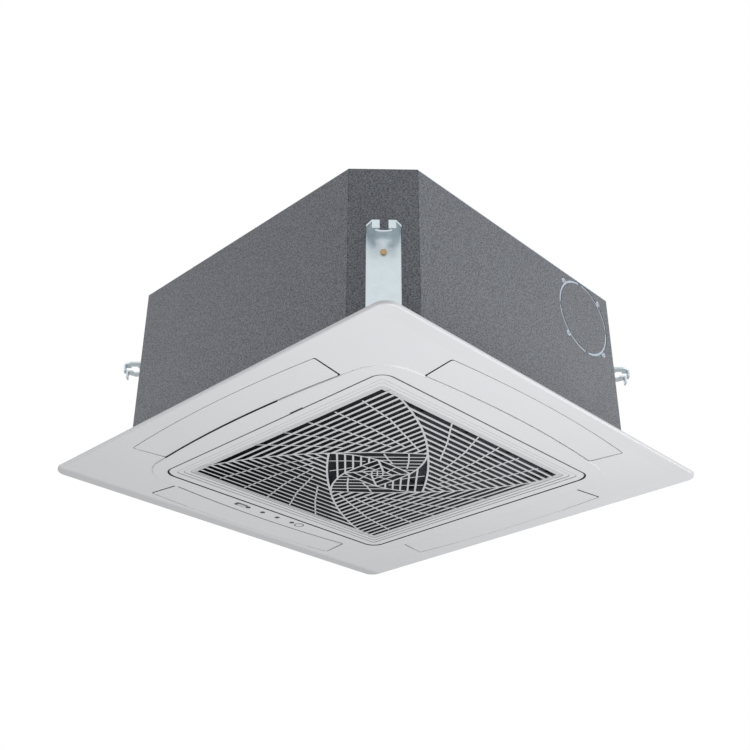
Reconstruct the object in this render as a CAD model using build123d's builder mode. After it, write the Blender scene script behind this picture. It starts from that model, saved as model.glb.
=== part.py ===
from build123d import *
from math import cos, hypot, radians, sin, sqrt
import os

os.makedirs("parts", exist_ok=True)

# Ceiling cassette air conditioner, in millimetres.
# Z = 0 is the ceiling plane, +Z points up into the ceiling void, and the Z axis is the centre of the unit.
# Side 0 faces +X, side 1 +Y, side 2 -X and side 3 -Y. Corner 0 is (+X, +Y), and corners count the same way.

# ------------------------------------------------------------------ driving dimensions

# cabinet
cabinet_side = 570.0
cabinet_height = 245.0
corner_cut = 64.0
sheet = 1.0
ceiling_gap = 30.0  # the cabinet's lower edge lies this far above the ceiling plane
bottom_flange = 12.0
seam = 0.4  # between neighbouring wall sheets, and between boards of the liner

# decorative panel
panel_overhang = 53.0  # panel edge beyond the cabinet wall
panel_rim = 5.0
duct_skin = 1.2  # left above the flap's outer part
panel_corner = 19.0
dish_margin = 24.0
dish_depth = 1.5
spigot_inset = 47.0  # the panel's upright collar inside the ceiling cut-out, from the panel's edge
spigot_wall = 3.0
spigot_corner = 8.0
collar_wall = 2.4

# screws that hold the panel
panel_screw_inset = 16.0  # from the grille's edge
panel_screw_lug = 5.0
panel_screw_radius = 2.5
panel_screw_depth = 16.0  # into the drain pan

# air intake
grille_inset = 61.5  # from the cabinet wall to the grille's edge
grille_corner = 20.0
grille_gap = 1.3
grille_face = -4.2
grille_depth = 10.0
grille_border = 35.8
bar_depth = 2.6
bar_pitch = 11.6
bar_width = 4.2
arm_width = 3.0
rib_width = 2.4

# louvers
flap_thickness = 1.8
flap_corner = 3.0
flap_gap = 1.6
flap_end_gap = 2.3  # wider, because the louver's broad side swings past its pocket's narrow one
flap_offset = 29.5  # from the grille's edge to the flap's inner edge, at the flap's ends
flap_width = 49.5
flap_bow = 9.5
flap_inner_shy = 46.5  # the flap's half length at its inner edge is the grille's half side less this
flap_outer_shy = 38.5
flap_pin_radius = 2.0
flap_pin_height = 10.0  # the hinge axis above the ceiling plane
flap_pin_offset = 30.0  # the hinge axis from the flap's inner edge, at its ends
bearing_clearance = 0.08

# heat exchanger, drain pan and liner
liner_thickness = 12.0
duct_width = 26.0
coil_gap = 49.0  # from the inside of the liner to the coil
coil_depth = 38.0
coil_top_gap = 34.0
coil_bend = 40.0
pan_height = 46.0
trough_depth = 16.0
trough_margin = 7.0
fan_to_coil = 22.0

# hanger brackets
bracket_sheet = 2.5
bracket_width = 44.0
bracket_height = 167.0  # of the ear above the ceiling plane
ear_length = 31.6
slot_throat = 11.0
slot_width = 21.0
slot_depth = 12.0
slot_start = 10.0  # from the bend to the slot's inner edge
lip_drop = 10.0
lip_half = 15.0
screw_head = 4.5

# fresh-air knockout in the wall of side 0
knockout_radius = 61.0
knockout_slot = 4.0
knockout_tab = 5.0
knockout_offset = 150.0  # along the wall from its middle
knockout_below_top = 63.0
knockout_screw_spacing = 90.0
knockout_screw_radius = 2.5

# refrigerant, drain and cable connections
gas_radius = 6.35
liquid_radius = 3.175
pipe_wall = 0.8
pipe_reach = 40.0
drain_radius = 12.5
drain_wall = 1.8
drain_reach = 42.0
drain_rise = 110.0  # of the outlet's axis above the drain pan
pump_pitch = 41.5  # from the pump's axis to the float's
pump_shift = 2.0  # of the pump's axis from the coil's middle, towards the wall
shelf_near = 22.0  # from the pump's axis to its shelf's inner edge
pipe_clear = 1.65  # between the shelf and the gas pipe
pipe_rise = 93.5  # of the pipes above the drain pan
cable_hole_radius = 11.0
cable_inset = 142.5  # from the wall beside it
cable_rise = 5.5

# ------------------------------------------------------------------ sizes worked out from them

wall = cabinet_side / 2
top = ceiling_gap + cabinet_height
panel_half = wall + panel_overhang
grille_half = wall - grille_inset
opening_half = grille_half - grille_border
panel_screw_place = grille_half - panel_screw_inset
flap_inner = grille_half + flap_offset
flap_outer = flap_inner + flap_width
flap_inner_half = grille_half - flap_inner_shy
flap_outer_half = grille_half - flap_outer_shy
flap_axis = flap_inner + flap_pin_offset
rim_bottom = -panel_rim
dish_bottom = rim_bottom + dish_depth
spigot_half = panel_half - spigot_inset
panel_top = ceiling_gap - 3.0
liner_inner = wall - sheet - liner_thickness
coil_outer = liner_inner - coil_gap
coil_inner = coil_outer - coil_depth
coil_middle = (coil_outer + coil_inner) / 2
pan_bottom = ceiling_gap + sheet
pan_top = pan_bottom + pan_height
trough_bottom = pan_top - trough_depth
coil_top = top - coil_top_gap
fan_radius = coil_inner - fan_to_coil
diagonal_wall = (2 * wall - corner_cut) / sqrt(2)  # distance of the cut corner's wall from the centre
cut_shrink = 2 - sqrt(2)  # how much a corner cut shortens per millimetre of inward offset


def side_plane(side, height=0.0):
    """Level plane whose x direction points out through a side."""
    angle = radians(90 * side)
    return Plane(origin=(0, 0, height), x_dir=(cos(angle), sin(angle), 0), z_dir=(0, 0, 1))


def corner_plane(corner, height=0.0):
    """Level plane whose x direction points out through a corner."""
    angle = radians(45 + 90 * corner)
    return Plane(origin=(0, 0, height), x_dir=(cos(angle), sin(angle), 0), z_dir=(0, 0, 1))


def wall_plane(angle, distance):
    """Upright plane facing outwards, with x along the wall and y up, at a height of zero."""
    out = Vector(cos(radians(angle)), sin(radians(angle)), 0)
    return Plane(origin=out * distance, x_dir=(-sin(radians(angle)), cos(radians(angle)), 0), z_dir=out)


def octagon(inset, height):
    """The cabinet's outline, moved inwards by an inset, at a height."""
    half = wall - inset
    flat = half - (corner_cut - inset * cut_shrink)
    corners = [(half, -flat), (half, flat), (flat, half), (-flat, half)]
    corners += [(-x, -y) for x, y in corners]
    with BuildSketch(Plane.XY.offset(height)) as outline:
        with BuildLine():
            Polyline(*corners, close=True)
        make_face()
    return outline.sketch


def corner_seams(height):
    """Narrow strips on the cabinet's eight upright edges, along which its walls and liner are parted."""
    flat = wall - corner_cut
    with BuildSketch(Plane.XY.offset(height)) as seams:
        for quarter in range(4):
            for x, y, lean in ((wall, flat, 22.5), (flat, wall, 67.5)):
                turn = radians(90 * quarter)
                place = (x * cos(turn) - y * sin(turn), x * sin(turn) + y * cos(turn))
                with Locations(Location(place, lean + 90 * quarter)):
                    Rectangle(4 * liner_thickness, seam)
    return seams.sketch


def rounded_square(half, radius, height):
    with BuildSketch(Plane.XY.offset(height)) as outline:
        RectangleRounded(2 * half, 2 * half, radius)
    return outline.sketch


def flap_outline(plane, grow=0.0, grow_outer=0.0, grow_end=0.0):
    """A louver's outline on a side's plane: slanted ends and two edges that bow outwards."""
    inner, outer = flap_inner - grow, flap_outer + grow_outer
    inner_half, outer_half = flap_inner_half + grow_end, flap_outer_half + grow_end
    with BuildSketch(plane) as outline:
        with BuildLine():
            ThreePointArc((inner, -inner_half), (inner + flap_bow, 0), (inner, inner_half))
            Line((inner, inner_half), (outer, outer_half))
            ThreePointArc((outer, outer_half), (outer + flap_bow, 0), (outer, -outer_half))
            Line((outer, -outer_half), (inner, -inner_half))
        make_face()
        fillet(outline.vertices(), flap_corner)
    return outline.sketch


# ------------------------------------------------------------------ cabinet shell
# Eight upright sheets with mitred seams between them, each with a flange turned in at its foot.

pipe_side, drain_side = 1, 2
pipe_spacing = 30.0
pump_x = -coil_middle - pump_shift
float_y = coil_middle
pump_y = float_y - pump_pitch
pipe_along = -pump_x - shelf_near - pipe_clear - gas_radius - pipe_spacing / 2
pipe_height = pan_top + pipe_rise
pipe_slot_width = 84.0
pipe_slot_height = 44.0
drain_along = -pump_y
drain_height = pan_top + drain_rise
cable_along = wall - cable_inset
cable_height = pan_top + cable_rise
knockout_height = top - knockout_below_top
flange_top = ceiling_gap + sheet
small_screw_radius = 2.0

with BuildPart() as cabinet_shell:
    extrude(octagon(0, ceiling_gap), amount=cabinet_height - sheet)
    extrude(octagon(sheet, flange_top), amount=cabinet_height, mode=Mode.SUBTRACT)
    extrude(octagon(bottom_flange, ceiling_gap), amount=sheet, mode=Mode.SUBTRACT)
    # fresh-air knockout: four arc slots that leave four tabs, and the duct collar's screw holes
    with BuildSketch(wall_plane(0, wall - sheet)) as knockout:
        with Locations((knockout_offset, knockout_height)):
            Circle(knockout_radius)
            Circle(knockout_radius - knockout_slot, mode=Mode.SUBTRACT)
            Rectangle(2 * knockout_radius + 2, knockout_tab, mode=Mode.SUBTRACT)
            Rectangle(knockout_tab, 2 * knockout_radius + 2, mode=Mode.SUBTRACT)
            with GridLocations(knockout_screw_spacing, knockout_screw_spacing, 2, 2):
                Circle(knockout_screw_radius)
    extrude(amount=sheet, mode=Mode.SUBTRACT)
    # opening for the refrigerant pipes
    with BuildSketch(wall_plane(90 * pipe_side, wall - sheet)):
        with Locations((pipe_along, pipe_height)):
            RectangleRounded(pipe_slot_width, pipe_slot_height, 8)
    extrude(amount=sheet, mode=Mode.SUBTRACT)
    # openings for the drain outlet and for the cables
    with BuildSketch(wall_plane(90 * drain_side, wall - sheet)):
        with Locations((drain_along, drain_height)):
            Circle(drain_radius + 5)
        with Locations((cable_along, cable_height)):
            Circle(cable_hole_radius)
    extrude(amount=sheet, mode=Mode.SUBTRACT)
    extrude(corner_seams(ceiling_gap), amount=cabinet_height, mode=Mode.SUBTRACT)
cabinet_shell.part.label = "cabinet_shell"
export_step(cabinet_shell.part, "parts/cabinet_shell.step")

# ------------------------------------------------------------------ top plate
# A flat lid with a turned-down edge inside the wrapper, stiffened by pressed ribs.

lid_flange = 14.0
lid_fit = 0.2
rib_rise = 3.0
rib_length = 120.0
rib_press = 26.0
motor_bolt_circle = 74.0
motor_bolt_radius = 3.0

with BuildPart() as top_plate:
    extrude(octagon(0, top - sheet), amount=sheet)
    extrude(octagon(sheet + lid_fit, top - lid_flange), amount=lid_flange - sheet)
    extrude(octagon(2 * sheet + lid_fit, top - lid_flange), amount=lid_flange - sheet, mode=Mode.SUBTRACT)
    with BuildSketch(Plane.XY.offset(top)) as ribs:
        with PolarLocations(0.62 * wall, 4, start_angle=45):
            SlotOverall(rib_length, rib_press)
    extrude(amount=-rib_rise, taper=25)
    with BuildSketch(Plane.XY.offset(top)) as rib_hollows:
        with PolarLocations(0.62 * wall, 4, start_angle=45):
            SlotOverall(rib_length - 2 * sheet, rib_press - 2 * sheet)
    extrude(amount=sheet - rib_rise, taper=25, mode=Mode.SUBTRACT)
    with BuildSketch(Plane.XY.offset(top)):
        with PolarLocations(motor_bolt_circle, 3, start_angle=30):
            Circle(motor_bolt_radius + 0.2)
    extrude(amount=-sheet, mode=Mode.SUBTRACT)
top_plate.part.label = "top_plate"
export_step(top_plate.part, "parts/top_plate.step")

# ------------------------------------------------------------------ insulation liner
# Foam boards on the walls, which carry the air down the outside of the coil. They stand on the drain pan, and
# on each side a tongue runs down past it and closes the air outlet there.

liner_top = top - lid_flange - 0.5
liner_floor = pan_top
outlet_half = flap_inner_half - 12.0

with BuildPart() as insulation_liner:
    extrude(octagon(sheet, liner_floor), amount=liner_top - liner_floor)
    extrude(
        octagon(sheet + liner_thickness, liner_floor),
        amount=liner_top - liner_floor,
        mode=Mode.SUBTRACT,
    )
    for side in range(4):
        with BuildSketch(side_plane(side, pan_bottom)):
            with Locations((liner_inner + liner_thickness / 2, 0)):
                Rectangle(liner_thickness, 2 * (outlet_half - seam))
        extrude(amount=liner_floor - pan_bottom)
    with BuildSketch(wall_plane(90 * pipe_side, wall - sheet)):
        with Locations((pipe_along, pipe_height)):
            RectangleRounded(pipe_slot_width, pipe_slot_height, 8)
    extrude(amount=-liner_thickness, mode=Mode.SUBTRACT)
    with BuildSketch(wall_plane(90 * drain_side, wall - sheet)):
        with Locations((drain_along, drain_height)):
            Circle(drain_radius + 5)
        with Locations((cable_along, cable_height)):
            Circle(cable_hole_radius)
    extrude(amount=-liner_thickness, mode=Mode.SUBTRACT)
    extrude(corner_seams(liner_floor), amount=liner_top - liner_floor, mode=Mode.SUBTRACT)
insulation_liner.part.label = "insulation_liner"
export_step(insulation_liner.part, "parts/insulation_liner.step")

# ------------------------------------------------------------------ hanger brackets and their screws
# One on each cut corner: a plate screwed to the wall, bent outwards into an ear with an open T-slot for
# a hanging rod. The two prongs beside the slot end in lips that point down.

bracket_foot = ceiling_gap + 5.0
bracket_screw_heights = (ceiling_gap + 15.0, bracket_height - 26.5)
bracket_screw_shank = 2.4
ear_corner = 11.0
screw_head_height = 2.6

for corner in range(4):
    angle = 45 + 90 * corner
    ear_plane = corner_plane(corner, bracket_height)
    slot_near = diagonal_wall + slot_start
    slot_far = slot_near + slot_depth
    tip = diagonal_wall + ear_length
    with BuildPart() as hanger_bracket:
        with BuildSketch(wall_plane(angle, diagonal_wall)):
            with Locations((0, (bracket_foot + bracket_height) / 2)):
                Rectangle(bracket_width, bracket_height - bracket_foot)
            with Locations(*[(0, z) for z in bracket_screw_heights]):
                Circle(bracket_screw_shank, mode=Mode.SUBTRACT)
        extrude(amount=bracket_sheet)
        with BuildSketch(ear_plane):
            with Locations(((diagonal_wall + tip) / 2, 0)):
                Rectangle(tip - diagonal_wall, bracket_width)
            with BuildLine():
                Polyline(
                    (tip, lip_half),
                    (tip - ear_corner, bracket_width / 2),
                    (tip, bracket_width / 2),
                    close=True,
                )
            make_face(mode=Mode.SUBTRACT)
            with BuildLine():
                Polyline(
                    (tip, -lip_half),
                    (tip - ear_corner, -bracket_width / 2),
                    (tip, -bracket_width / 2),
                    close=True,
                )
            make_face(mode=Mode.SUBTRACT)
            with BuildLine():
                ThreePointArc(
                    (slot_near + 2.5, -slot_width / 2), (slot_near, 0), (slot_near + 2.5, slot_width / 2)
                )
                Polyline(
                    (slot_near + 2.5, slot_width / 2),
                    (slot_far, slot_width / 2),
                    (slot_far, slot_throat / 2),
                    (tip + 1, slot_throat / 2),
                    (tip + 1, -slot_throat / 2),
                    (slot_far, -slot_throat / 2),
                    (slot_far, -slot_width / 2),
                    (slot_near + 2.5, -slot_width / 2),
                )
            make_face(mode=Mode.SUBTRACT)
        extrude(amount=bracket_sheet)
        with BuildSketch(ear_plane):
            for way in (-1, 1):
                with Locations((tip - bracket_sheet / 2, way * (lip_half + slot_throat / 2) / 2)):
                    Rectangle(bracket_sheet, lip_half - slot_throat / 2)
        extrude(amount=-lip_drop)
        highest = hanger_bracket.edges().group_by(Axis.Z)[-1]
        bend = highest.sort_by(lambda edge: hypot(edge.center().X, edge.center().Y))[0]
        fillet(bend, bracket_sheet - 0.1)
    hanger_bracket.part.label = f"hanger_bracket_{corner + 1}"
    export_step(hanger_bracket.part, f"parts/hanger_bracket_{corner + 1}.step")

with BuildPart() as bracket_screws:
    for corner in range(4):
        with BuildSketch(wall_plane(45 + 90 * corner, diagonal_wall + bracket_sheet)):
            with Locations(*[(0, z) for z in bracket_screw_heights]):
                RegularPolygon(screw_head, 6)
        extrude(amount=screw_head_height)
        with BuildSketch(wall_plane(45 + 90 * corner, diagonal_wall + bracket_sheet)):
            with Locations(*[(0, z) for z in bracket_screw_heights]):
                Circle(bracket_screw_shank - 0.05)
        extrude(amount=-bracket_sheet)
bracket_screws.part.label = "bracket_screws"
export_step(bracket_screws.part, "parts/bracket_screws.step")

# ------------------------------------------------------------------ heat exchanger
# A finned coil bent round the fan on four sides and open at corner 1, where its tubes end.

coil_bottom = trough_bottom + 4.0
coil_open = 62.0  # length left out of each side at the open corner
coil_spine = 2.0
fin_pitch = 12.8
fin_gap = 11.6
bend_lead = 8.0  # from where the straight fins end to the bend's inner corner
tube_radius = 3.5
tube_flats = 6
bend_pitch = 25.0
bend_cut = 0.22 * bend_pitch

with BuildPart() as coil_fin_pack:
    with BuildSketch(Plane.XY.offset(coil_bottom)):
        RectangleRounded(2 * coil_outer, 2 * coil_outer, coil_bend)
        RectangleRounded(2 * coil_inner, 2 * coil_inner, 4, mode=Mode.SUBTRACT)
        with Locations((-coil_outer, coil_outer)):
            Rectangle(2 * (coil_open + coil_depth), 2 * (coil_open + coil_depth), mode=Mode.SUBTRACT)
        gap_count = int((2 * coil_inner - coil_open) / fin_pitch)
        for side in range(4):
            spin = radians(90 * side)
            for n in range(gap_count):
                along = (n - (gap_count - 1) / 2) * fin_pitch
                out = coil_middle - coil_spine / 2
                x = out * cos(spin) - along * sin(spin)
                y = out * sin(spin) + along * cos(spin)
                with Locations(Location((x, y), 90 * side)):
                    Rectangle(coil_depth - coil_spine, fin_gap, mode=Mode.SUBTRACT)
            # the fins part where the coil bends
            for way in (-1, 1):
                along = way * (coil_inner - bend_lead)
                x = coil_middle * cos(spin) - along * sin(spin)
                y = coil_middle * sin(spin) + along * cos(spin)
                with Locations(Location((x, y), 90 * side)):
                    Rectangle(2 * coil_depth, seam, mode=Mode.SUBTRACT)
    extrude(amount=coil_top - coil_bottom)
coil_fin_pack.part.label = "coil_fin_pack"
export_step(coil_fin_pack.part, "parts/coil_fin_pack.step")

coil_end = coil_outer - coil_open - coil_depth
end_plate = 1.5
with BuildPart() as coil_end_plates:
    # one where the coil starts, on side 2, and one where it ends, on side 1
    with BuildSketch(Plane.XY.offset(coil_bottom)):
        with Locations((-coil_middle, coil_end + end_plate / 2)):
            Rectangle(coil_depth, end_plate)
        with Locations((-coil_end - end_plate / 2, coil_middle)):
            Rectangle(end_plate, coil_depth)
    extrude(amount=coil_top - coil_bottom)
coil_end_plates.part.label = "coil_end_plates"
export_step(coil_end_plates.part, "parts/coil_end_plates.step")

bend_count = int((coil_top - coil_bottom - 20) / bend_pitch)
reach = bend_pitch / 2.6
bend_path = [
    (-reach, 0),
    (-reach, reach - bend_cut),
    (-reach + bend_cut, reach),
    (reach - bend_cut, reach),
    (reach, reach - bend_cut),
    (reach, 0),
]
with BuildPart() as coil_return_bends:
    for way in range(2):
        for n in range(bend_count):
            z = coil_bottom + 22 + n * bend_pitch
            foot = coil_end + end_plate
            if way == 0:
                points = [(-coil_middle + x, foot + y, z) for x, y in bend_path]
                start = Plane(origin=points[0], x_dir=(1, 0, 0), z_dir=(0, 1, 0))
            else:
                points = [(-foot - y, coil_middle + x, z) for x, y in bend_path]
                start = Plane(origin=points[0], x_dir=(0, 1, 0), z_dir=(-1, 0, 0))
            with BuildLine():
                Polyline(*points)
            with BuildSketch(start):
                RegularPolygon(tube_radius, tube_flats)
            sweep(transition=Transition.RIGHT)
coil_return_bends.part.label = "coil_return_bends"
export_step(coil_return_bends.part, "parts/coil_return_bends.step")

# ------------------------------------------------------------------ drain pan
# Foam tray over the whole foot of the cabinet: a trough under the coil, four notches for the air outlets
# outside it, and a stepped opening in the middle, whose ledge carries the inlet bell.

trough_inner = coil_inner - trough_margin
trough_outer = coil_outer + trough_margin
outlet_inner = liner_inner - duct_width
ledge_height = pan_bottom + 28.0
bell_seat_half = trough_inner - 4.0
fan_passage_half = fan_radius + 3.0
passage_corner = 0.36 * fan_radius
bell_screw_place = 0.93 * fan_passage_half

with BuildPart() as drain_pan:
    extrude(octagon(sheet, pan_bottom), amount=pan_height)
    extrude(rounded_square(fan_passage_half, passage_corner, pan_bottom), amount=pan_height, mode=Mode.SUBTRACT)
    extrude(
        rounded_square(bell_seat_half, 12, pan_bottom), amount=ledge_height - pan_bottom, mode=Mode.SUBTRACT
    )
    with BuildSketch(Plane.XY.offset(trough_bottom)) as trough:
        RectangleRounded(2 * trough_outer, 2 * trough_outer, coil_bend)
        RectangleRounded(2 * trough_inner, 2 * trough_inner, 8, mode=Mode.SUBTRACT)
    extrude(amount=trough_depth, mode=Mode.SUBTRACT)
    for side in range(4):
        with BuildSketch(side_plane(side, pan_bottom)):
            with Locations(((outlet_inner + wall) / 2, 0)):
                Rectangle(wall - outlet_inner, 2 * outlet_half)
        extrude(amount=pan_height, mode=Mode.SUBTRACT)
    with BuildSketch(Plane.XY.offset(ledge_height)):
        with GridLocations(2 * bell_screw_place, 2 * bell_screw_place, 2, 2):
            Circle(small_screw_radius)
    extrude(amount=8, mode=Mode.SUBTRACT)
    with BuildSketch(Plane.XY.offset(pan_bottom)):
        with GridLocations(2 * panel_screw_place, 2 * panel_screw_place, 2, 2):
            Circle(panel_screw_radius)
    extrude(amount=panel_screw_depth, mode=Mode.SUBTRACT)
drain_pan.part.label = "drain_pan"
export_step(drain_pan.part, "parts/drain_pan.step")

# ------------------------------------------------------------------ inlet bell and its screws

fan_bottom = pan_top + 8.0
fan_top = top - 75.0
shroud_flare = 46.0
bell_gap = 3.0
bell_wall = 2.0
bell_radius = 34.0
bell_overlap = 12.0
throat_radius = fan_radius - shroud_flare - bell_gap - bell_wall
bell_mouth_radius = throat_radius + bell_radius
bell_bottom = ledge_height - bell_wall
bell_arc_height = bell_bottom + bell_radius
bell_lip = fan_bottom + bell_overlap
bell_flanks = 4


def bell_point(radius, turn):
    """Point of the bell's quarter-round flare, which runs in flat flanks."""
    return (
        bell_mouth_radius + radius * cos(radians(turn)),
        bell_arc_height + radius * sin(radians(turn)),
    )


with BuildPart() as inlet_bell:
    extrude(rounded_square(bell_seat_half - 0.5, 11, bell_bottom), amount=bell_wall)
    with BuildSketch(Plane.XY.offset(bell_bottom)):
        Circle(bell_mouth_radius)
        with GridLocations(2 * bell_screw_place, 2 * bell_screw_place, 2, 2):
            Circle(small_screw_radius)
    extrude(amount=bell_wall, mode=Mode.SUBTRACT)
    with BuildSketch(Plane.XZ) as bell_profile:
        with BuildLine():
            turns = [180 + 90 * n / bell_flanks for n in range(bell_flanks + 1)]
            front = [bell_point(bell_radius, turn) for turn in turns]
            back = [bell_point(bell_radius - bell_wall, turn) for turn in reversed(turns)]
            Polyline(
                (throat_radius, bell_lip), *front, *back, (throat_radius + bell_wall, bell_lip), close=True
            )
        make_face()
    revolve(axis=Axis.Z)
inlet_bell.part.label = "inlet_bell"
export_step(inlet_bell.part, "parts/inlet_bell.step")

with BuildPart() as bell_screws:
    with BuildSketch(Plane.XY.offset(bell_bottom)):
        with GridLocations(2 * bell_screw_place, 2 * bell_screw_place, 2, 2):
            RegularPolygon(screw_head, 6)
    extrude(amount=-screw_head_height)
    with BuildSketch(Plane.XY.offset(bell_bottom)):
        with GridLocations(2 * bell_screw_place, 2 * bell_screw_place, 2, 2):
            Circle(small_screw_radius)
    extrude(amount=bell_wall + 8)
bell_screws.part.label = "bell_screws"
export_step(bell_screws.part, "parts/bell_screws.step")

# ------------------------------------------------------------------ turbo fan
# Backward-curved blades between a flared shroud below and a dished back plate above. The dish takes the
# motor, and its hub sits on the shaft.

blade_count = 7
blade_thickness = 3.0
blade_inner = fan_radius - 60.0
blade_bottom = bell_lip + 5.0
plate_thickness = 2.0
dish_radius = fan_radius - 78.0
hub_radius = 32.0
dish_drop = 52.0
boss_radius = 13.0
boss_length = 14.0
shaft_radius = 5.0
inlet_radius = fan_radius - shroud_flare
shroud_rise = 32.0
hub_top = fan_top - dish_drop
shroud_shape = ((0.0, 0.0), (0.07, 0.5), (0.28, 0.82), (1.0, 1.0))  # shares of its flare and of its rise
shroud_outer = [(inlet_radius + shroud_flare * x, fan_bottom + shroud_rise * z) for x, z in shroud_shape]
shroud_inner = [(x + 1.4, z - 1.4) for x, z in shroud_outer[1:-1]]
shroud_inner = [(inlet_radius + 2, fan_bottom), *shroud_inner, (fan_radius, fan_bottom + shroud_rise - 2)]

with BuildPart() as turbo_fan:
    with BuildSketch(Plane.XZ) as back_plate:
        with BuildLine():
            Polyline(
                (shaft_radius, hub_top),
                (hub_radius, hub_top),
                (dish_radius, fan_top),
                (fan_radius, fan_top),
                (fan_radius, fan_top - plate_thickness),
                (dish_radius + 1, fan_top - plate_thickness),
                (hub_radius + 1, hub_top - plate_thickness),
                (boss_radius, hub_top - plate_thickness),
                (boss_radius, hub_top - boss_length),
                (shaft_radius, hub_top - boss_length),
                close=True,
            )
        make_face()
    revolve(axis=Axis.Z)
    for n in range(blade_count):
        turn = 360 * n / blade_count
        with BuildSketch(Plane.XY.offset(blade_bottom).rotated((0, 0, turn))) as blade:
            with BuildLine() as camber:
                ThreePointArc(
                    (blade_inner, 0),
                    (0.5 * (blade_inner + fan_radius) - 1, 0.2 * fan_radius),
                    (fan_radius * cos(radians(31)) - 2, fan_radius * sin(radians(31)) - 2),
                )
            trace(line_width=blade_thickness)
        extrude(amount=fan_top - plate_thickness / 2 - blade_bottom)
    # blades end at the shroud's inner face
    with BuildSketch(Plane.XZ) as below_shroud:
        with BuildLine():
            Polyline(
                *shroud_inner,
                (fan_radius + 1, shroud_inner[-1][1]),
                (fan_radius + 1, fan_bottom - 1),
                (shroud_inner[0][0], fan_bottom - 1),
                close=True,
            )
        make_face()
    revolve(axis=Axis.Z, mode=Mode.SUBTRACT)
    with BuildSketch(Plane.XZ) as shroud:
        with BuildLine():
            Polyline(*shroud_inner, *reversed(shroud_outer), close=True)
        make_face()
    revolve(axis=Axis.Z)
turbo_fan.part.label = "turbo_fan"
export_step(turbo_fan.part, "parts/turbo_fan.step")

# ------------------------------------------------------------------ fan motor, shaft, nut and mounts

motor_radius = 55.0
motor_top = top - sheet - 20.0
motor_bottom = fan_top - 14.0
bearing_depth = 16.0
lug_thickness = 4.0
lug_radius = 10.0
shaft_bottom = hub_top - boss_length - 9.0
nut_height = 6.0
bolt_head_height = 4.0

with BuildPart() as fan_motor:
    with BuildSketch(Plane.XY.offset(motor_bottom)):
        Circle(motor_radius)
    extrude(amount=motor_top - motor_bottom)
    chamfer(fan_motor.edges().group_by(Axis.Z)[0], 5)
    with BuildSketch(Plane.XY.offset(motor_top)):
        for n in range(3):
            spoke = radians(30 + 120 * n)
            place = (0.8 * motor_bolt_circle * cos(spoke), 0.8 * motor_bolt_circle * sin(spoke))
            with Locations(Location(place, 30 + 120 * n)):
                Rectangle(0.4 * motor_bolt_circle, 2 * lug_radius)
        with PolarLocations(motor_bolt_circle, 3, start_angle=30):
            Circle(lug_radius)
    extrude(amount=-lug_thickness)
    with BuildSketch(Plane.XY.offset(motor_top)):
        with PolarLocations(motor_bolt_circle, 3, start_angle=30):
            Circle(motor_bolt_radius)
    extrude(amount=-lug_thickness, mode=Mode.SUBTRACT)
    with BuildSketch(Plane.XY.offset(motor_bottom)):
        Circle(shaft_radius + bearing_clearance)
    extrude(amount=bearing_depth, mode=Mode.SUBTRACT)
fan_motor.part.label = "fan_motor"
export_step(fan_motor.part, "parts/fan_motor.step")

with BuildPart() as motor_shaft:
    with BuildSketch(Plane.XY.offset(shaft_bottom)):
        Circle(shaft_radius)
    extrude(amount=motor_bottom + bearing_depth - 0.5 - shaft_bottom)
motor_shaft.part.label = "motor_shaft"
export_step(motor_shaft.part, "parts/motor_shaft.step")

with BuildPart() as fan_nut:
    with BuildSketch(Plane.XY.offset(hub_top - boss_length)):
        RegularPolygon(9, 6)
        Circle(shaft_radius, mode=Mode.SUBTRACT)
    extrude(amount=-nut_height)
fan_nut.part.label = "fan_nut"
export_step(fan_nut.part, "parts/fan_nut.step")

with BuildPart() as motor_mounts:
    with BuildSketch(Plane.XY.offset(motor_top)):
        with PolarLocations(motor_bolt_circle, 3, start_angle=30):
            Circle(9)
            Circle(motor_bolt_radius, mode=Mode.SUBTRACT)
    extrude(amount=top - sheet - motor_top)
motor_mounts.part.label = "motor_mounts"
export_step(motor_mounts.part, "parts/motor_mounts.step")

with BuildPart() as motor_bolts:
    with BuildSketch(Plane.XY.offset(motor_top - lug_thickness)):
        with PolarLocations(motor_bolt_circle, 3, start_angle=30):
            RegularPolygon(5.5, 6)
    extrude(amount=-bolt_head_height)
    with BuildSketch(Plane.XY.offset(motor_top - lug_thickness)):
        with PolarLocations(motor_bolt_circle, 3, start_angle=30):
            Circle(motor_bolt_radius)
    extrude(amount=top - motor_top + lug_thickness)
motor_bolts.part.label = "motor_bolts"
export_step(motor_bolts.part, "parts/motor_bolts.step")

# ------------------------------------------------------------------ drain pump, float and outlet
# They stand in the coil's open corner. The bracket hangs from the lid and carries the pump and the float's stem.

pump_radius = 20.0
pump_height = 42.0
suction_radius = 7.0
bracket_level = trough_bottom + 58.0
float_x = pump_x
float_radius = 10.0
float_height = 14.0
float_stem = 3.0
float_foot = 6.0
shelf_far = 30.0
hanger_width = 28.0
hose_radius = drain_radius - drain_wall
hose_wall = 2.0
hose_flats = 12
hose_corner = 14.0

with BuildPart() as pump_bracket:
    with BuildSketch(Plane.XY.offset(bracket_level)):
        with Locations((pump_x + (shelf_near - shelf_far) / 2, (pump_y + float_y) / 2)):
            Rectangle(shelf_near + shelf_far, float_y - pump_y + 2 * shelf_near)
        with Locations((float_x, float_y)):
            Circle(float_stem, mode=Mode.SUBTRACT)
        with Locations((pump_x, pump_y)):
            Circle(suction_radius, mode=Mode.SUBTRACT)
    extrude(amount=2)
    with BuildSketch(Plane.XY.offset(bracket_level)):
        with Locations((pump_x - shelf_far + 1, float_y - hanger_width / 2)):
            Rectangle(2, hanger_width)
    extrude(amount=top - sheet - bracket_level)
pump_bracket.part.label = "pump_bracket"
export_step(pump_bracket.part, "parts/pump_bracket.step")

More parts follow.
